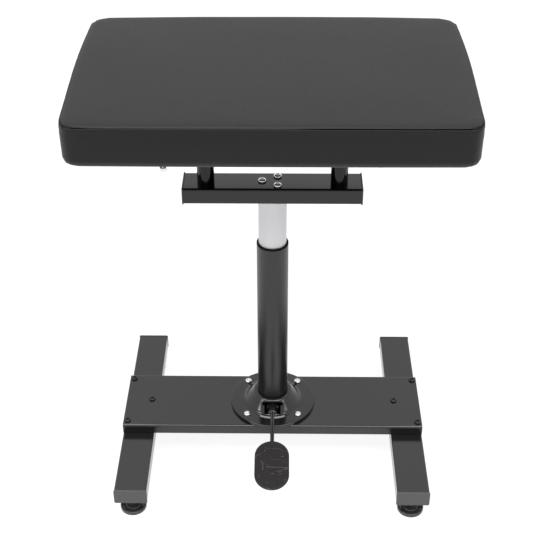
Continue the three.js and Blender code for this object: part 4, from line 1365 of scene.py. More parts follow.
@dataclass
class Column:
    """The black sleeve with its guide collar, and the silver tube that slides in it."""

    sleeve_radius: float = 0.024
    sleeve_bore: float = 0.0225
    sleeve_bottom: float = 0.0981
    sleeve_top: float = 0.3861
    collar_top: float = 0.3888
    collar_bore: float = 0.0213
    collar_depth: float = 0.026
    collar_round: float = 0.0016
    tube_radius: float = 0.021
    tube_bore: float = 0.0195
    tube_bottom: float = 0.200
    tube_top: float = 0.468
    tube_plate: float = 0.008
    rod_bore: float = 0.0043
    edge: float = 0.0004

    def build(self) -> None:
        """Makes and dresses the sleeve, the collar and the tube."""
        radius, bore, edge = self.sleeve_radius, self.sleeve_bore, self.edge
        low, high = self.sleeve_bottom, self.sleeve_top
        ring = [(bore, low, 0), (radius, low, edge), (radius, high, edge), (bore, high, edge), (bore, low, 0)]
        sleeve = Shape.turned(rounded(ring, 3, closed=False), 128)
        show("powder_coated_sleeve", sleeve, SLEEVE_COAT, "root", ["column_sleeve"])
        lip, foot, snug = high + GAP, high - self.collar_depth, bore - GAP
        neck, top = self.collar_bore, self.collar_top
        collar = rounded([
            (neck, foot, 0), (snug, foot, 0), (snug, lip, 0), (radius, lip, 0.0003),
            (radius, top, self.collar_round), (neck, top, self.collar_round / 2), (neck, foot, 0),
        ], 5, closed=False)
        # The collar's near-black nylon is painted shade for the gap under the tube.
        show("guide_collar", Shape.turned(collar, 128), SHADE_BLACK_NYLON, "root", ["sleeve_collar"])
        outer, inner, low, high = self.tube_radius, self.tube_bore, self.tube_bottom, self.tube_top
        plate = high - self.tube_plate
        tube = rounded([
            (inner, low, 0), (outer, low, edge), (outer, high, edge), (self.rod_bore, high, 0),
            (self.rod_bore, plate, 0), (inner, plate, 0), (inner, low, 0),
        ], 3, closed=False)
        show("satin_lift_tube", Shape.turned(tube, 128), TUBE_STEEL, "armrest", ["lift_tube"])
        for node, finish in (("lower_race", BEARING), ("ball_cage", BEARING), ("upper_race", BEARING),
                             ("piston_rod", OILED_ROD), ("rod_clip", BLACK_STEEL), ("piston", ZINC),
                             ("release_pin", OILED_PIN), ("gas_cylinder", CYLINDER_PAINT),
                             ("tube_guide_ring", SHADE_BLACK_NYLON)):
            dress(node, finish)


# Pedal


@dataclass
class BentRod:
    """A round rod drawn out step by step in the plane of Y and Z, from its starting point along -Y."""

    shape: Shape
    radius: float
    place: Vector
    bend_radius: float
    bend_steps: int = 8

    def __post_init__(self) -> None:
        """Makes the rod's first face."""
        bm = self.shape.bm
        made = bmesh.ops.create_circle(bm, cap_ends=True, radius=self.radius, segments=32)
        bmesh.ops.rotate(bm, cent=(0, 0, 0), matrix=Matrix.Rotation(math.pi / 2, 3, "X"), verts=made["verts"])
        bmesh.ops.translate(bm, vec=self.place, verts=made["verts"])
        self.tip: list[bmesh.types.BMFace] = list(bm.faces)
        self.heading = Vector((0, -1, 0))

    def straight(self, length: float) -> None:
        """Draws the tip straight out."""
        self.tip = self.shape.drawn_out(self.tip, self.heading * length)
        self.place = self.place + self.heading * length

    def bend(self, angle: float) -> None:
        """Bends the tip down by an angle in radians, or up by a negative one.

        Args:
            angle: the whole bend, which is made in even steps.
        """
        side = -1 if angle > 0 else 1
        centre = self.place + Vector((0, self.heading.z, -self.heading.y)) * self.bend_radius * side
        step = Matrix.Rotation(angle / self.bend_steps, 3, "X")
        for _ in range(self.bend_steps):
            self.tip = self.shape.drawn_out(self.tip, (0, 0, 0))
            verts = list({vert for face in self.tip for vert in face.verts})
            bmesh.ops.rotate(self.shape.bm, cent=centre, matrix=step, verts=verts)
        turn = Matrix.Rotation(angle, 3, "X")
        self.place = centre + turn @ (self.place - centre)
        self.heading = turn @ self.heading


@dataclass
class Pedal:
    """The lever in the fork, its bent rod and the oval pad."""

    pivot: Point = (-0.031, 0.0856)
    nose: Point = (0, 0.0786)
    stub: Point = (-0.045, 0.088)
    boss_radius: float = 0.006
    nose_radius: float = 0.0045
    stub_radius: float = 0.004
    half_width: float = 0.004
    pin_radius: float = 0.0025
    pin_head: float = 0.0042
    pin_reach: float = 0.0071
    pin_head_height: float = 0.0016
    pin_clip: float = 0.0008
    pin_tail: float = 0.0018
    rod_radius: float = 0.00325
    rod_overlap: float = 0.002
    rod_run: float = 0.022
    rod_bend: float = 0.018
    rod_drop: float = 24.0
    rod_past_middle: float = 0.012
    rod_end_round: float = 0.0005
    pad_width: float = 0.054
    pad_length: float = 0.087
    pad_thickness: float = 0.005
    pad_round: float = 0.0013
    pad_tilt: float = 13
    pad_place: Point = (-0.1487, 0.070)

    def lever(self) -> Shape:
        """The flat lever between the lugs, with the hole for its pin."""
        width, reach = self.half_width, self.half_width + PAST
        ahead = belt(self.pivot, self.boss_radius, self.nose, self.nose_radius)
        behind = belt(self.stub, self.stub_radius, self.pivot, self.boss_radius)
        nose, stub = (Shape.prism(outline, -width, width).along_x() for outline in (ahead, behind))
        hole = Shape.cylinder(self.pin_radius + GAP, -reach, reach, 32).along_x()
        lever = nose.worked("UNION", stub).bevelled(FILLET, 3)
        return lever.worked("DIFFERENCE", hole.moved((0, *self.pivot)))

    def rod(self) -> Shape:
        """The round rod: level through the window, down over the flange and on under the pad."""
        start = Vector((0, self.stub[0] + self.rod_overlap, self.stub[1]))
        rod = BentRod(Shape(), self.rod_radius, start, self.rod_bend)
        lean = math.radians(self.pad_tilt)
        normal = Vector((0, -math.sin(lean), math.cos(lean)))
        run = Vector((0, -math.cos(lean), -math.sin(lean)))
        middle = Vector((0, *self.pad_place)) - normal * (self.pad_thickness / 2 + GAP + self.rod_radius)
        level_off = math.radians(self.rod_drop - self.pad_tilt)
        rod.straight(self.rod_run)
        rod.bend(math.radians(self.rod_drop))
        to_pad = (middle - rod.place).dot(normal) / rod.heading.dot(normal)
        rod.straight(to_pad - self.rod_bend * math.tan(level_off / 2))
        rod.bend(-level_off)
        rod.straight((middle - rod.place).dot(run) + self.rod_past_middle)
        return rod.shape.mended().bevelled(self.rod_end_round, 2)

    def pad(self) -> Shape:
        """The oval pad, softly crowned and rounded all round."""
        outline = box_outline(self.pad_width, self.pad_length, self.pad_width / 2 - HAIR, 24)
        half = self.pad_thickness / 2
        pad = Shape.prism(outline, -half, half).bevelled(self.pad_round, 5)
        return pad.turned_about("X", self.pad_tilt).moved((0, *self.pad_place))

    def pin(self) -> Shape:
        """The pivot pin with its head and clip."""
        radius, head = self.pin_radius, self.pin_head
        reach, clip = self.pin_reach, self.pin_reach + self.pin_clip
        left, right = -reach - self.pin_head_height, clip + self.pin_tail
        profile = rounded([
            (0, left, 0), (head, left, 0.0004), (head, -reach, 0.0002), (radius, -reach, 0),
            (radius, reach, 0), (head, reach, 0.0001), (head, clip, 0.0001), (radius, clip, 0),
            (radius, right, 0.0005), (0, right, 0),
        ], 3, closed=False)
        return Shape.turned(profile, 48).along_x().moved((0, *self.pivot))

    def build(self) -> None:
        """Makes and dresses the pedal."""
        arm = self.lever().worked("UNION", self.rod())
        show("pedal_lever", arm, FRAME_COAT, "pedal", ["pedal_arm"], weighted=False)
        show("oval_pedal_pad", self.pad(), PEDAL_RUBBER, "pedal", ["pedal_pad"])
        show("pedal_pivot_pin", self.pin(), OILED_PIN, "root", ["pivot_pin"])


# Carrier


@dataclass
class Carrier:
    """The crossbar with its caps and screws, the two posts, the rails and their bolts."""

    bar_length: float = 0.256
    bar_depth: float = 0.050
    bar_height: float = 0.025
    bar_wall: float = 0.002
    bar_corner: float = 0.0038
    bar_bottom: float = 0.4683
    cap_lip: float = 0.0009
    cap_thickness: float = 0.002
    cap_corner: float = 0.0029
    screw_circle: float = 0.015
    screw_shank: float = 0.003
    screw_head: Point = (0.006, 0.0036)
    screw_length: float = 0.0326
    post_x: float = 0.0965
    post_radius: float = 0.0125
    post_wall: float = 0.0015
    post_edge: float = 0.0003
    post_length: float = 0.112
    rail_thickness: float = 0.004
    rail_corner: float = 0.004
    rail_edge: float = 0.0005
    cross_rail: Point = (0.306, 0.030)
    side_rail: Point = (0.025, 0.322)
    side_rail_x: float = 0.139
    bolt_y: float = 0.153
    bolt_radius: float = 0.0025
    bolt_core_share: float = 0.84
    bolt_head: Point = (0.00425, 0.005)
    bolt_socket_share: float = 0.46
    bolt_thread: Point = (0.0004, 0.0008)
    bolt_reach: float = 0.016
    proud_bolt: float = 0.007

    def bar(self) -> Shape:
        """The crossbar's tube, centred on the origin."""
        wall, half, corner = self.bar_wall, self.bar_length / 2, self.bar_corner
        outer = box_outline(self.bar_depth, self.bar_height, corner, 8)
        inner = box_outline(self.bar_depth - 2 * wall, self.bar_height - 2 * wall, corner - wall, 8)
        return Shape.pipe(outer, inner, -half, half).along_x()

    def cap(self) -> Shape:
        """A cap with its plate facing +X from x = 0, centred on Y and Z."""
        cap = EndCap(self.bar_depth, self.bar_height, self.cap_lip, self.cap_thickness, self.cap_corner,
                     self.cap_lip)
        return cap.shape().along_x()

    def rail(self, size: Point) -> Shape:
        """A flat rail centred on the origin."""
        half = self.rail_thickness / 2
        return Shape.prism(box_outline(*size, self.rail_corner, 6), -half, half).bevelled(self.rail_edge, 2)

    def post(self) -> Shape:
        """A post that stands on z = 0."""
        outer, inner = self.post_radius, self.post_radius - self.post_wall
        ring = rounded([
            (inner, 0, 0), (outer, 0, self.post_edge), (outer, self.post_length, self.post_edge),
            (inner, self.post_length, 0), (inner, 0, 0),
        ], 3, closed=False)
        return Shape.turned(ring, 72)

    def bolt(self, drop: float) -> Shape:
        """A socket-head bolt from below.

        Args:
            drop: how far its head hangs below the rail.

        Returns:
            The bolt, its head's upper face on z = 0.
        """
        radius, core, (head, high) = self.bolt_radius, self.bolt_radius * self.bolt_core_share, self.bolt_head
        socket, floor = head * self.bolt_socket_share, -high * 0.55
        chamfer, grip = GAP, drop + self.bolt_reach
        profile = rounded([
            (0, floor, 0), (socket, floor, 0), (socket, -high + chamfer, 0), (socket + chamfer, -high, 0),
            (head, -high, FILLET), (head, 0, FILLET / 2), (core, 0, 0), (core, grip, 0), (0, grip, 0),
        ], 4, closed=False)
        bolt = Shape.turned(profile, 48)
        hexagon(bolt, socket, -high, -high * 0.5)
        return bolt.joined(Shape.thread(radius, *self.bolt_thread, chamfer, grip - PAST / 2, 24))

    def build(self) -> None:
        """Makes and dresses the carrier."""
        top = self.bar_bottom + self.bar_height
        middle = self.bar_bottom + self.bar_height / 2
        show("crossbar_tube", self.bar().moved((0, 0, middle)), BAR_COAT, "armrest", ["crossbar"])
        rail_bottom = top + GAP + self.post_length + GAP
        side_bottom = rail_bottom + self.rail_thickness + GAP
        for side, sign in (("left", -1), ("right", 1)):
            cap = self.cap() if sign > 0 else self.cap().turned_about("Z", 180)
            spot = (sign * (self.bar_length / 2 + GAP), 0, middle)
            show(f"{side}_bar_end", cap.moved(spot), CAP_PLASTIC, "armrest", [f"{side}_crossbar_cap"])
            post = self.post().moved((sign * self.post_x, 0, top + GAP))
            show(f"{side}_round_post", post, SHADED_POST_COAT, "armrest", [f"{side}_post"])
            spot = (sign * self.side_rail_x, 0, side_bottom + self.rail_thickness / 2)
            rail = self.rail(self.side_rail).moved(spot)
            show(f"{side}_flat_rail", rail, FRAME_COAT, "armrest", [f"{side}_side_rail"])
            for end, way in (("front", -1), ("rear", 1)):
                drop = self.proud_bolt if (sign, way) == (-1, -1) else 0
                spot = (sign * self.side_rail_x, way * self.bolt_y, side_bottom - GAP - drop)
                show(f"{end}_{side}_rail_bolt", self.bolt(drop).moved(spot), ZINC, "armrest",
                     [f"{end}_{side}_bolt"])
        cross = self.rail(self.cross_rail).moved((0, 0, rail_bottom + self.rail_thickness / 2))
        show("flat_cross_rail", cross, FRAME_COAT, "armrest", ["cross_rail"])
        screw = ButtonScrew(self.screw_shank, *self.screw_head, self.screw_length)
        for index in range(3):
            angle = math.pi + index * TURN / 3
            spot = (self.screw_circle * math.cos(angle), self.screw_circle * math.sin(angle), top + GAP)
            show(f"bar_screw_{index + 1}", screw.shape().moved(spot), ZINC, "armrest",
                 [f"crossbar_screw_{index + 1}"])


# Cushion


def clamped(value: float) -> float:
    """The nearest number from 0 to 1."""
    return min(1.0, max(0.0, value))


@dataclass(frozen=True)
class Sewing:
    """The measures of the seam, and of what the pull of its thread does to the cover."""

    groove_width: float = 0.0008
    groove_depth: float = 0.0012
    roll_middle: float = 0.0021
    roll_width: float = 0.0013
    roll_rise: float = 0.0005
    allowance_middle: float = -0.0033
    allowance_half: float = 0.0025
    allowance_edge: float = 0.0002
    allowance_rise: float = 0.0003
    pucker_count: float = 48
    pucker_reach: float = 0.006
    pucker_rise: float = 0.0004
    fold_count: float = 22
    fold_layers: float = 210
    fold_middle: float = -0.011
    fold_reach: float = 0.009
    fold_corner: float = 0.06
    fold_rise: float = 0.0013
    flow_count: float = 9
    flow_start: float = 0.02
    flow_rise: float = 0.0004
    # The band of painted floor light along the lower hem: its width, and how strongly it is painted in.
    hem_width: float = 0.0065
    hem_painted_light: float = 0.8
    cuts: tuple[float, ...] = (-0.0064, -0.0056, -0.0016, -0.0008, -0.0003, 0.0003, 0.0008, 0.0018)


@dataclass
class Cushion:
    """The padded top: a sewn cover, blown up by a cloth simulation over its board."""

    length: float = 0.544
    depth: float = 0.357
    bottom: float = 0.6145
    height: float = 0.059
    corner: float = 0.020
    bow: float = 0.0055
    rear_bow: float = 0.0062
    front_bow: float = 0.001
    flare: float = 0.002
    front_nip: float = 0.0010
    upper_edge: float = 0.004
    lower_edge: float = 0.0045
    seam_height: float = 0.0558
    side_seam_lift: float = 0.0015
    crown: float = 0.0012
    crown_reach: float = 0.03
    rear_rise: float = 0.0005
    taper: float = 0.0003
    front_taper: float = 0.0012
    front_share: float = -0.4
    cover: float = 0.0012
    turn_in: float = 0.012
    flat_band: float = 0.0006
    board_low: float = 0.0015
    board_thickness: float = 0.012
    board_inset: float = 0.0078
    board_edges: Point = (0.001, 0.002)
    foam_inset: float = 0.0085
    foam_edges: Point = (0.004, 0.001)
    voxel: float = 0.005
    start_inset: float = 0.0008
    top_swell: float = 0.0026
    side_swell: float = 0.0014
    seam_hold: float = 0.85
    frames: int = 20
    pressure: float = 4.0
    corner_passes: int = 10
    corner_reach: float = 1.3
    staple_pitch: float = 0.034
    staple_crown: float = 0.0105
    staple_wire: float = 0.0006
    staple_lean: float = 14
    sewing: Sewing = Sewing()

    def half(self, inset: float = 0) -> Point:
        """Half the outline's length and depth without its bow, less an inset."""
        return (self.length / 2 - self.bow - inset, self.depth / 2 - self.bow - inset)

    def blank(self, inset: float, low: float, high: float, upper: float, lower: float) -> Shape:
        """A block with round corners, smaller than the cushion's outline without its bow.

        Args:
            inset: how much smaller it is on each side.
            low: the height of its underside.
            high: the height of its upper side.
            upper: how round its upper edges are.
            lower: how round its lower edges are.

        Returns:
            The block.
        """
        half = self.half(inset)
        blank = Shape.block((-half[0], -half[1], low), (*half, high))
        blank.bevelled(self.corner - inset, 8,
                       lambda side: abs(side.verts[0].co.z - side.verts[1].co.z) > (high - low) / 2)
        for height, radius in ((high, upper), (low, lower)):
            blank.bevelled(radius, 6, lambda side: all(abs(vert.co.z - height) < HAIR for vert in side.verts))
        return blank

    def bowed(self, x: float, y: float, z: float) -> Corner:
        """Where a point of the block goes when the sides bow out and draw in towards the bottom.

        Args:
            x: its place across.
            y: its place from front to rear.
            z: its height.

        Returns:
            The place that it moves to.
        """
        half = self.half()
        down = clamped(1 - (z - self.bottom) / self.seam_height)
        ahead, behind = (clamped(way * y / half[1]) for way in (-1, 1))
        out_x = self.bow * max(0.0, 1 - (y / half[1]) ** 2) + self.flare * behind
        out_x -= self.taper * down + self.front_nip * math.sin(math.pi * ahead)
        arch = max(0.0, 1 - abs(x / half[0]) ** 3)
        out_y = self.rear_bow * arch if y > 0 else self.bow - self.front_bow * (1 - arch)
        out_x *= min(1.0, abs(x) / half[0])
        out_y = (out_y - self.front_taper * down) * min(1.0, abs(y) / half[1])
        inset = max(0.0, min(half[0] - abs(x), half[1] - abs(y)))
        rise = self.crown * (1 - math.exp(-inset / self.crown_reach)) + self.rear_rise * max(0.0, y / half[1])
        rise *= z > self.bottom + self.height / 2
        return (x + out_x * math.copysign(1, x), y + out_y * math.copysign(1, y), z + rise)

    def remeshed(self, blank: Shape) -> bpy.types.Object:
        """The form as even squares, with its sides bowed out.

        Args:
            blank: the block that it is made from.

        Returns:
            The form's object.
        """
        thing = blank.piece("cushion_blank")
        remesh = thing.modifiers.new("squares", "REMESH")
        remesh.mode = "VOXEL"
        remesh.voxel_size = self.voxel
        self.keep(thing)
        for vert in thing.data.vertices:
            vert.co = self.bowed(*vert.co)
        return thing

    @staticmethod
    def keep(thing: bpy.types.Object) -> None:
        """Applies all modifiers of an object.

        Args:
            thing: the object, whose mesh becomes what its modifiers make of it.
        """
        done = thing.evaluated_get(bpy.context.evaluated_depsgraph_get())
        mesh = bpy.data.meshes.new_from_object(done)
        old = thing.data
        thing.modifiers.clear()
        thing.data = mesh
        bpy.data.meshes.remove(old)

    def hold(self, thing: bpy.types.Object) -> None:
        """Names the points that the cloth keeps in place: over the board, and near the seam.

        Args:
            thing: the form before it swells.
        """
        held = thing.vertex_groups.new(name="held")
        board_top = self.bottom + self.board_low + self.board_thickness
        seam = self.bottom + self.seam_height
        for vert in thing.data.vertices:
            near_seam = self.seam_hold * max(0.0, 1 - abs(vert.co.z - seam) / self.voxel)
            on_board = clamped((board_top + self.voxel - vert.co.z) / self.voxel)
            if max(near_seam, on_board) > 0:
                held.add([vert.index], max(near_seam, on_board), "REPLACE")

    def swollen(self, thing: bpy.types.Object) -> None:
        """Blows the form up as cloth and caps how far each point goes.

        Args:
            thing: the form, whose points are moved.
        """
        self.hold(thing)
        rest = [(vert.co.copy(), abs(vert.normal.z)) for vert in thing.data.vertices]
        cloth = thing.modifiers.new("cloth", "CLOTH")
        settings = cloth.settings
        settings.vertex_group_mass = "held"
        settings.use_pressure = True
        settings.uniform_pressure_force = self.pressure
        settings.quality = 6
        settings.mass = 0.35
        settings.tension_stiffness = 25
        settings.compression_stiffness = 25
        settings.shear_stiffness = 12
        settings.bending_stiffness = 1.5
        settings.effector_weights.gravity = 0
        cloth.collision_settings.use_self_collision = False
        cloth.point_cache.frame_start = 1
        cloth.point_cache.frame_end = self.frames
        for step in range(1, self.frames + 1):
            bpy.context.scene.frame_set(step)
        self.keep(thing)
        bpy.context.scene.frame_set(1)
        for vert, (start, level) in zip(thing.data.vertices, rest):
            move = vert.co - start
            most = self.side_swell + (self.top_swell - self.side_swell) * level
            vert.co = start + move * min(1.0, most / max(move.length, 1e-9))

    def finished(self, thing: bpy.types.Object) -> Shape:
        """The cover: its seam, puckers and folds, its opening under the board and its thickness.

        Args:
            thing: the swollen form, which is used up.

        Returns:
            The cover's mesh.
        """
        divide = thing.modifiers.new("fine", "SUBSURF")
        divide.levels = 1
        divide.render_levels = 1
        self.keep(thing)
        shape = Shape()
        shape.bm.from_mesh(thing.data)
        bpy.data.objects.remove(thing)
        self.round_corners(shape)
        seam = self.bottom + self.seam_height
        for vert in shape.bm.verts:
            vert.co.z -= self.seam_lift(*vert.co)
        for offset in self.sewing.cuts:
            bmesh.ops.bisect_plane(shape.bm, geom=shape.bm.verts[:] + shape.bm.edges[:] + shape.bm.faces[:],
                                   dist=HAIR, plane_co=(0, 0, seam + offset), plane_no=(0, 0, 1))
        self.sew(shape, seam)
        for vert in shape.bm.verts:
            vert.co.z += self.seam_lift(*vert.co)
        self.open_under(shape)
        return shape

    def round_corners(self, shape: Shape) -> None:
        """Smooths the four upright corners above the lower edge.

        Args:
            shape: the cover's mesh.
        """
        reach = self.corner_reach * self.corner
        corners = [vert for vert in shape.bm.verts
                   if self.length / 2 - abs(vert.co.x) < reach and self.depth / 2 - abs(vert.co.y) < reach
                   and vert.co.z > self.bottom + 3 * self.lower_edge]
        for _ in range(self.corner_passes):
            bmesh.ops.smooth_vert(shape.bm, verts=corners, factor=0.5, use_axis_x=True, use_axis_y=True,
                                  use_axis_z=True)

    def seam_lift(self, x: float, y: float, z: float) -> float:
        """How much higher the seam runs on the right side than along the front.

        Args:
            x: the place across.
            y: the place from front to rear.
            z: the height.

        Returns:
            The lift at that point, 0 well below the seam.
        """
        if z < self.bottom + 0.6 * self.height:
            return 0.0
        along = clamped((y / self.depth + 0.44) / 0.08)
        aside = clamped((x / self.length - 0.42) / 0.05)
        return self.side_seam_lift * along * aside

    def openness(self, x: float, y: float) -> float:
        """How open the seam is: in front the roll hides it, except on the right and at the left corner.

        Args:
            x: the place across.
            y: the place from front to rear.

        Returns:
            About 0.2 where the roll hides it, and 1 where it is open.
        """
        if y > self.front_share * self.depth:
            return 1.0
        share = x / self.length
        right = clamped((share - 0.02) / 0.13)
        left = clamped((-0.40 - share) / 0.04)
        return 0.22 + 0.9 * max(right, 0.7 * left)

    def sew(self, shape: Shape, seam: float) -> None:
        """Draws the seam in, with its allowance below, its roll above and small puckers along it.

        Args:
            shape: the cover, cut along the lines of the seam.
            seam: the seam's height.
        """
        sewing = self.sewing
        # The 'seam' layer is the mask of the painted shade in the seam's groove.
        seam_shadow = shape.bm.verts.layers.float.new("seam")
        # The 'rubbed' layer holds painted light: the front roll's painted highlight and the lower hem's
        # painted floor light.
        painted_light = shape.bm.verts.layers.float.new("rubbed")
        shape.bm.normal_update()
        moves = []
        for vert in shape.bm.verts:
            x, y, z = vert.co
            above = z - seam
            side = 1 - abs(vert.normal.z)
            open_here = self.openness(x, y)
            groove = math.exp(-(above / sewing.groove_width) ** 2) * open_here
            roll = math.exp(-((above - sewing.roll_middle) / sewing.roll_width) ** 2)
            past_allowance = abs(above - sewing.allowance_middle) - sewing.allowance_half
            allowance = open_here / (1 + math.exp(past_allowance / sewing.allowance_edge))
            pucker = noise.noise(Vector((x * sewing.pucker_count, y * sewing.pucker_count, 3.1)))
            pucker *= math.exp(-abs(above) / sewing.pucker_reach)
            flow = noise.noise(Vector((x, y, z)) * sewing.flow_count) * (z > self.bottom + sewing.flow_start)
            corner = math.hypot(abs(x) - self.length / 2, abs(y) - self.depth / 2) / sewing.fold_corner
            at_fold = (x * sewing.fold_count, y * sewing.fold_count, above * sewing.fold_layers)
            fold = noise.noise(Vector(at_fold))
            fold *= math.exp(-((above - sewing.fold_middle) / sewing.fold_reach) ** 2) * max(0.0, 1 - corner)
            move = sewing.roll_rise * roll - sewing.groove_depth * groove + sewing.allowance_rise * allowance
            move += sewing.pucker_rise * pucker + sewing.fold_rise * fold
            moves.append(side * move + sewing.flow_rise * flow)
            vert[seam_shadow] = min(1.0, groove * 1.6) * min(1.0, 2.5 * side)
            # Painted highlight along the front roll, stronger towards the left, and painted floor light along
            # the lower hem.
            front = y < self.front_share * self.depth
            roll_highlight = roll * min(1.0, 6 * side) * max(0.0, 0.5 - 0.25 * x / self.length)
            hem_light = math.exp(-((z - self.bottom) / sewing.hem_width) ** 4)
            vert[painted_light] = front * roll_highlight + sewing.hem_painted_light * hem_light
        for vert, move in zip(shape.bm.verts, moves):
            vert.co += vert.normal * move

    def open_under(self, shape: Shape) -> None:
        """Cuts the opening under the board and gives the cover its thickness.

        Args:
            shape: the cover's mesh, closed below.
        """
        for vert in shape.bm.verts:
            if vert.co.z < self.bottom + self.flat_band:
                vert.co.z = self.bottom
        flat = self.bottom + self.flat_band / 3
        reach = self.half(self.turn_in)
        for axis, distance in enumerate(reach):
            facing = [float(index == axis) for index in range(3)]
            for way in (-1, 1):
                low = [face for face in shape.bm.faces if face.calc_center_median().z < flat]
                parts = {part for face in low for part in (face, *face.edges, *face.verts)}
                bmesh.ops.bisect_plane(shape.bm, geom=list(parts), dist=HAIR,
                                       plane_co=[way * distance * part for part in facing], plane_no=facing)
        inside = []
        for face in shape.bm.faces:
            x, y, z = face.calc_center_median()
            if z < flat and abs(x) < reach[0] and abs(y) < reach[1]:
                inside.append(face)
        bmesh.ops.delete(shape.bm, geom=inside, context="FACES")
        bmesh.ops.recalc_face_normals(shape.bm, faces=shape.bm.faces[:])
        bmesh.ops.solidify(shape.bm, geom=shape.bm.faces[:], thickness=self.cover)

    def board(self) -> Shape:
        """The plywood board with the holes of its four bolts."""
        low = self.bottom + self.board_low
        high = low + self.board_thickness
        board = self.blank(self.board_inset, low, high, *self.board_edges)
        rows = [edge for edge in board.bm.edges if edge.calc_length() > 0.1]
        bmesh.ops.subdivide_edges(board.bm, edges=rows, cuts=15)
        for vert in board.bm.verts:
            vert.co = self.bowed(*vert.co)
        bmesh.ops.triangulate(board.bm, faces=[face for face in board.bm.faces if len(face.verts) > 4])
        for x in (-Carrier.side_rail_x, Carrier.side_rail_x):
            for y in (-Carrier.bolt_y, Carrier.bolt_y):
                hole = Shape.cylinder(Carrier.bolt_radius + GAP, low - PAST, high + PAST, 24)
                board.worked("DIFFERENCE", hole.moved((x, y, 0)))
        return board

    def staples(self) -> Shape:
        """Wire staples through the turn-in into the board, each turned a little."""
        half = self.half(self.turn_in / 2)
        crown, wire = self.staple_crown, self.staple_wire
        one = Shape.prism(box_outline(crown, wire * 1.6, wire * 0.7, 3), -wire, 0).bevelled(wire * 0.25, 2)
        row = Shape()
        for axis in (0, 1):
            count = int((2 * half[axis] - 0.05) / self.staple_pitch)
            for way in (-1, 1):
                for index in range(count + 1):
                    along = (index - count / 2) * self.staple_pitch
                    lean = self.staple_lean * noise.noise(Vector((along * 71, way * 3.7, axis * 9.1)))
                    spot = (along, way * half[1]) if axis == 0 else (way * half[0], along)
                    twin = one.copy().turned_about("Z", 90 * axis + lean)
                    row.joined(twin.moved((*spot, self.bottom - 5 * HAIR)))
                    twin.bm.free()
        one.bm.free()
        return row

    def build(self) -> None:
        """Makes and dresses the cushion."""
        top = self.bottom + self.height - self.crown + GAP
        blank = self.blank(self.start_inset, self.bottom, top, self.upper_edge, self.lower_edge)
        thing = self.remeshed(blank)
        self.swollen(thing)
        cover = show("sewn_cushion_cover", self.finished(thing), LEATHER, "armrest", ["cushion_cover"],
                     weighted=False)
        low = self.bottom + self.board_low + self.board_thickness + GAP
        foam = self.blank(self.foam_inset, low, top - 2 * self.cover, *self.foam_edges)
        show("cut_foam_block", foam, FOAM, "armrest", ["foam_core"])
        show("drilled_plywood_board", self.board(), PLYWOOD, "armrest", ["cushion_board"], weighted=False)
        show("cover_staples", self.staples(), ZINC, "armrest")


# Studio


@dataclass(frozen=True)
class Softbox:
    """A soft lamp, so wide and so high, that looks at a point."""

    name: str
    place: Corner
    aim: Corner
    size: Point
    watts: float

    def build(self) -> None:
        """Hangs the lamp."""
        light = bpy.data.lights.new(self.name, "AREA")
        light.shape = "RECTANGLE"
        light.energy = self.watts
        light.size, light.size_y = self.size
        thing = bpy.data.objects.new(self.name, light)
        bpy.context.scene.collection.objects.link(thing)
        way = (Vector(self.aim) - Vector(self.place)).to_track_quat("-Z", "Y")
        thing.matrix_world = Matrix.Translation(self.place) @ way.to_matrix().to_4x4()


SOFTBOXES = (
    Softbox("top_softbox", (0.1, 0.5, 2.4), (0, 0, 0.4), (2.0, 2.0), 7.0),
    Softbox("front_softbox", (-0.1, -1.05, 2.6), (0, 0, 0.4), (3.8, 1.3), 78.0),
    Softbox("left_softbox", (-1.84, -1.15, 1.2), (0, 0, 0.3), (0.4, 0.4), 3.0),
    Softbox("right_softbox", (1.84, -1.15, 1.2), (0, 0, 0.3), (0.4, 0.4), 1.5),
)


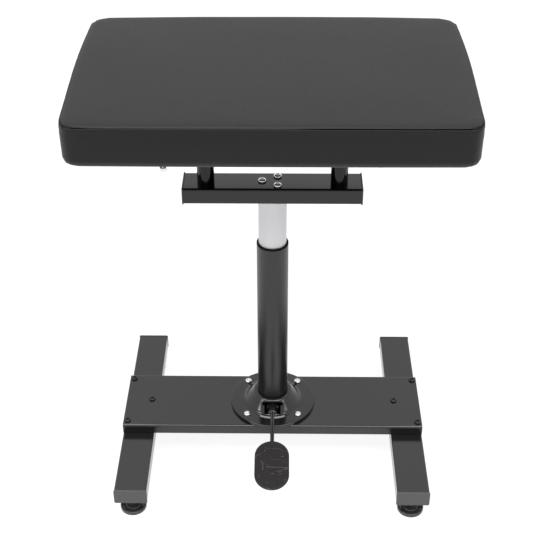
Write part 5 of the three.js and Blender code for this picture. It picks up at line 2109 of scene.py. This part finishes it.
@dataclass
class Studio:
    """The pale floor, the soft light and the camera."""

    focal_pixels: float = 1130.0
    frame_pixels: float = 533
    pitch: float = 0.60634
    roll: float = -0.0046
    yaw: float = -0.0167
    place: Corner = (0.01437, -1.41425, 1.32354)
    floor_size: float = 12.0
    floor_glow: float = 1.25
    glow_share: float = 0.72
    paper: Point = (0.84, 0.86)
    world_light: float = 0.42

    def camera(self) -> None:
        """Places the camera where the photograph was taken from."""
        sin, cos = math.sin, math.cos
        forward = Vector((sin(self.yaw) * cos(self.pitch), cos(self.yaw) * cos(self.pitch), -sin(self.pitch)))
        right = Vector((cos(self.yaw), -sin(self.yaw), 0))
        up = right.cross(forward)
        right, up = (cos(self.roll) * right + sin(self.roll) * up,
                     -sin(self.roll) * right + cos(self.roll) * up)
        lens = bpy.data.cameras.new("studio_camera")
        lens.sensor_width = 36.0
        lens.lens = self.focal_pixels * lens.sensor_width / self.frame_pixels
        lens.clip_end = 100.0
        viewer = bpy.data.objects.new("studio_camera", lens)
        bpy.context.scene.collection.objects.link(viewer)
        axes = Matrix((right, up, -forward)).transposed().to_4x4()
        viewer.matrix_world = Matrix.Translation(self.place) @ axes
        bpy.context.scene.camera = viewer

    @staticmethod
    def seen_directly(graph: Graph) -> Value:
        """1 for rays that show the background itself: to the camera, in gloss and through glass.

        Args:
            graph: the node tree that asks.

        Returns:
            The switch, 0 or 1.
        """
        paths = graph.add("ShaderNodeLightPath").outputs
        seen = Value(graph, paths["Is Camera Ray"]) + Value(graph, paths["Is Glossy Ray"])
        return (seen + Value(graph, paths["Is Transmission Ray"])).at_most(1)

    def floor(self) -> None:
        """The white floor: it shows white but keeps the object's shadow."""
        sheet = Shape()
        bmesh.ops.create_grid(sheet.bm, x_segments=1, y_segments=1, size=self.floor_size / 2)
        thing = sheet.piece("studio_floor")
        graph = MaterialGraph("studio_paper")
        darker, lighter = ((grey,) * 3 for grey in self.paper)
        graph.set(Base_Color=graph.blend(graph.noise(40, 2, 0.5), darker, lighter), Roughness=0.9,
                  Specular_IOR_Level=0.1)
        glow = graph.add("ShaderNodeEmission", {}, {"Color": WHITE, "Strength": self.floor_glow})
        graph.cover(self.seen_directly(graph) * self.glow_share, glow)
        thing.data.materials.append(graph.material)

    def world(self) -> None:
        """A white studio: seen as white, and lighting softly from above."""
        world = bpy.data.worlds.new("studio_world")
        bpy.context.scene.world = world
        world.use_nodes = True
        graph = Graph(world.node_tree)
        output = graph.add("ShaderNodeOutputWorld")
        up = graph.axis("Z", graph.add("ShaderNodeTexCoord").outputs["Generated"])
        soft = graph.ease(up, -0.1, 0.9) * 0.5 + 0.5
        seen = self.seen_directly(graph)
        strength = soft * self.world_light * (1 - seen) + seen
        light = graph.add("ShaderNodeBackground", {}, {"Color": WHITE, "Strength": strength})
        graph.feed(output.inputs["Surface"], light.outputs[0])

    def build(self) -> None:
        """Sets the stage."""
        bpy.context.scene.view_settings.view_transform = "Standard"
        self.camera()
        self.floor()
        self.world()
        for softbox in SOFTBOXES:
            softbox.build()


def main() -> None:
    """Builds the studio and every sub-assembly."""
    logging.basicConfig(level=logging.INFO, format="%(message)s")
    Studio().build()
    Base().build()
    for end, y in (("front", -Base.foot_y), ("rear", Base.foot_y)):
        for side, x in (("left", -Base.leg_x), ("right", Base.leg_x)):
            LevellingFoot(x, y, f"{end}_{side}").build()
    Housing().build()
    Column().build()
    Pedal().build()
    Carrier().build()
    Cushion().build()


if __name__ == "__main__":
    main()
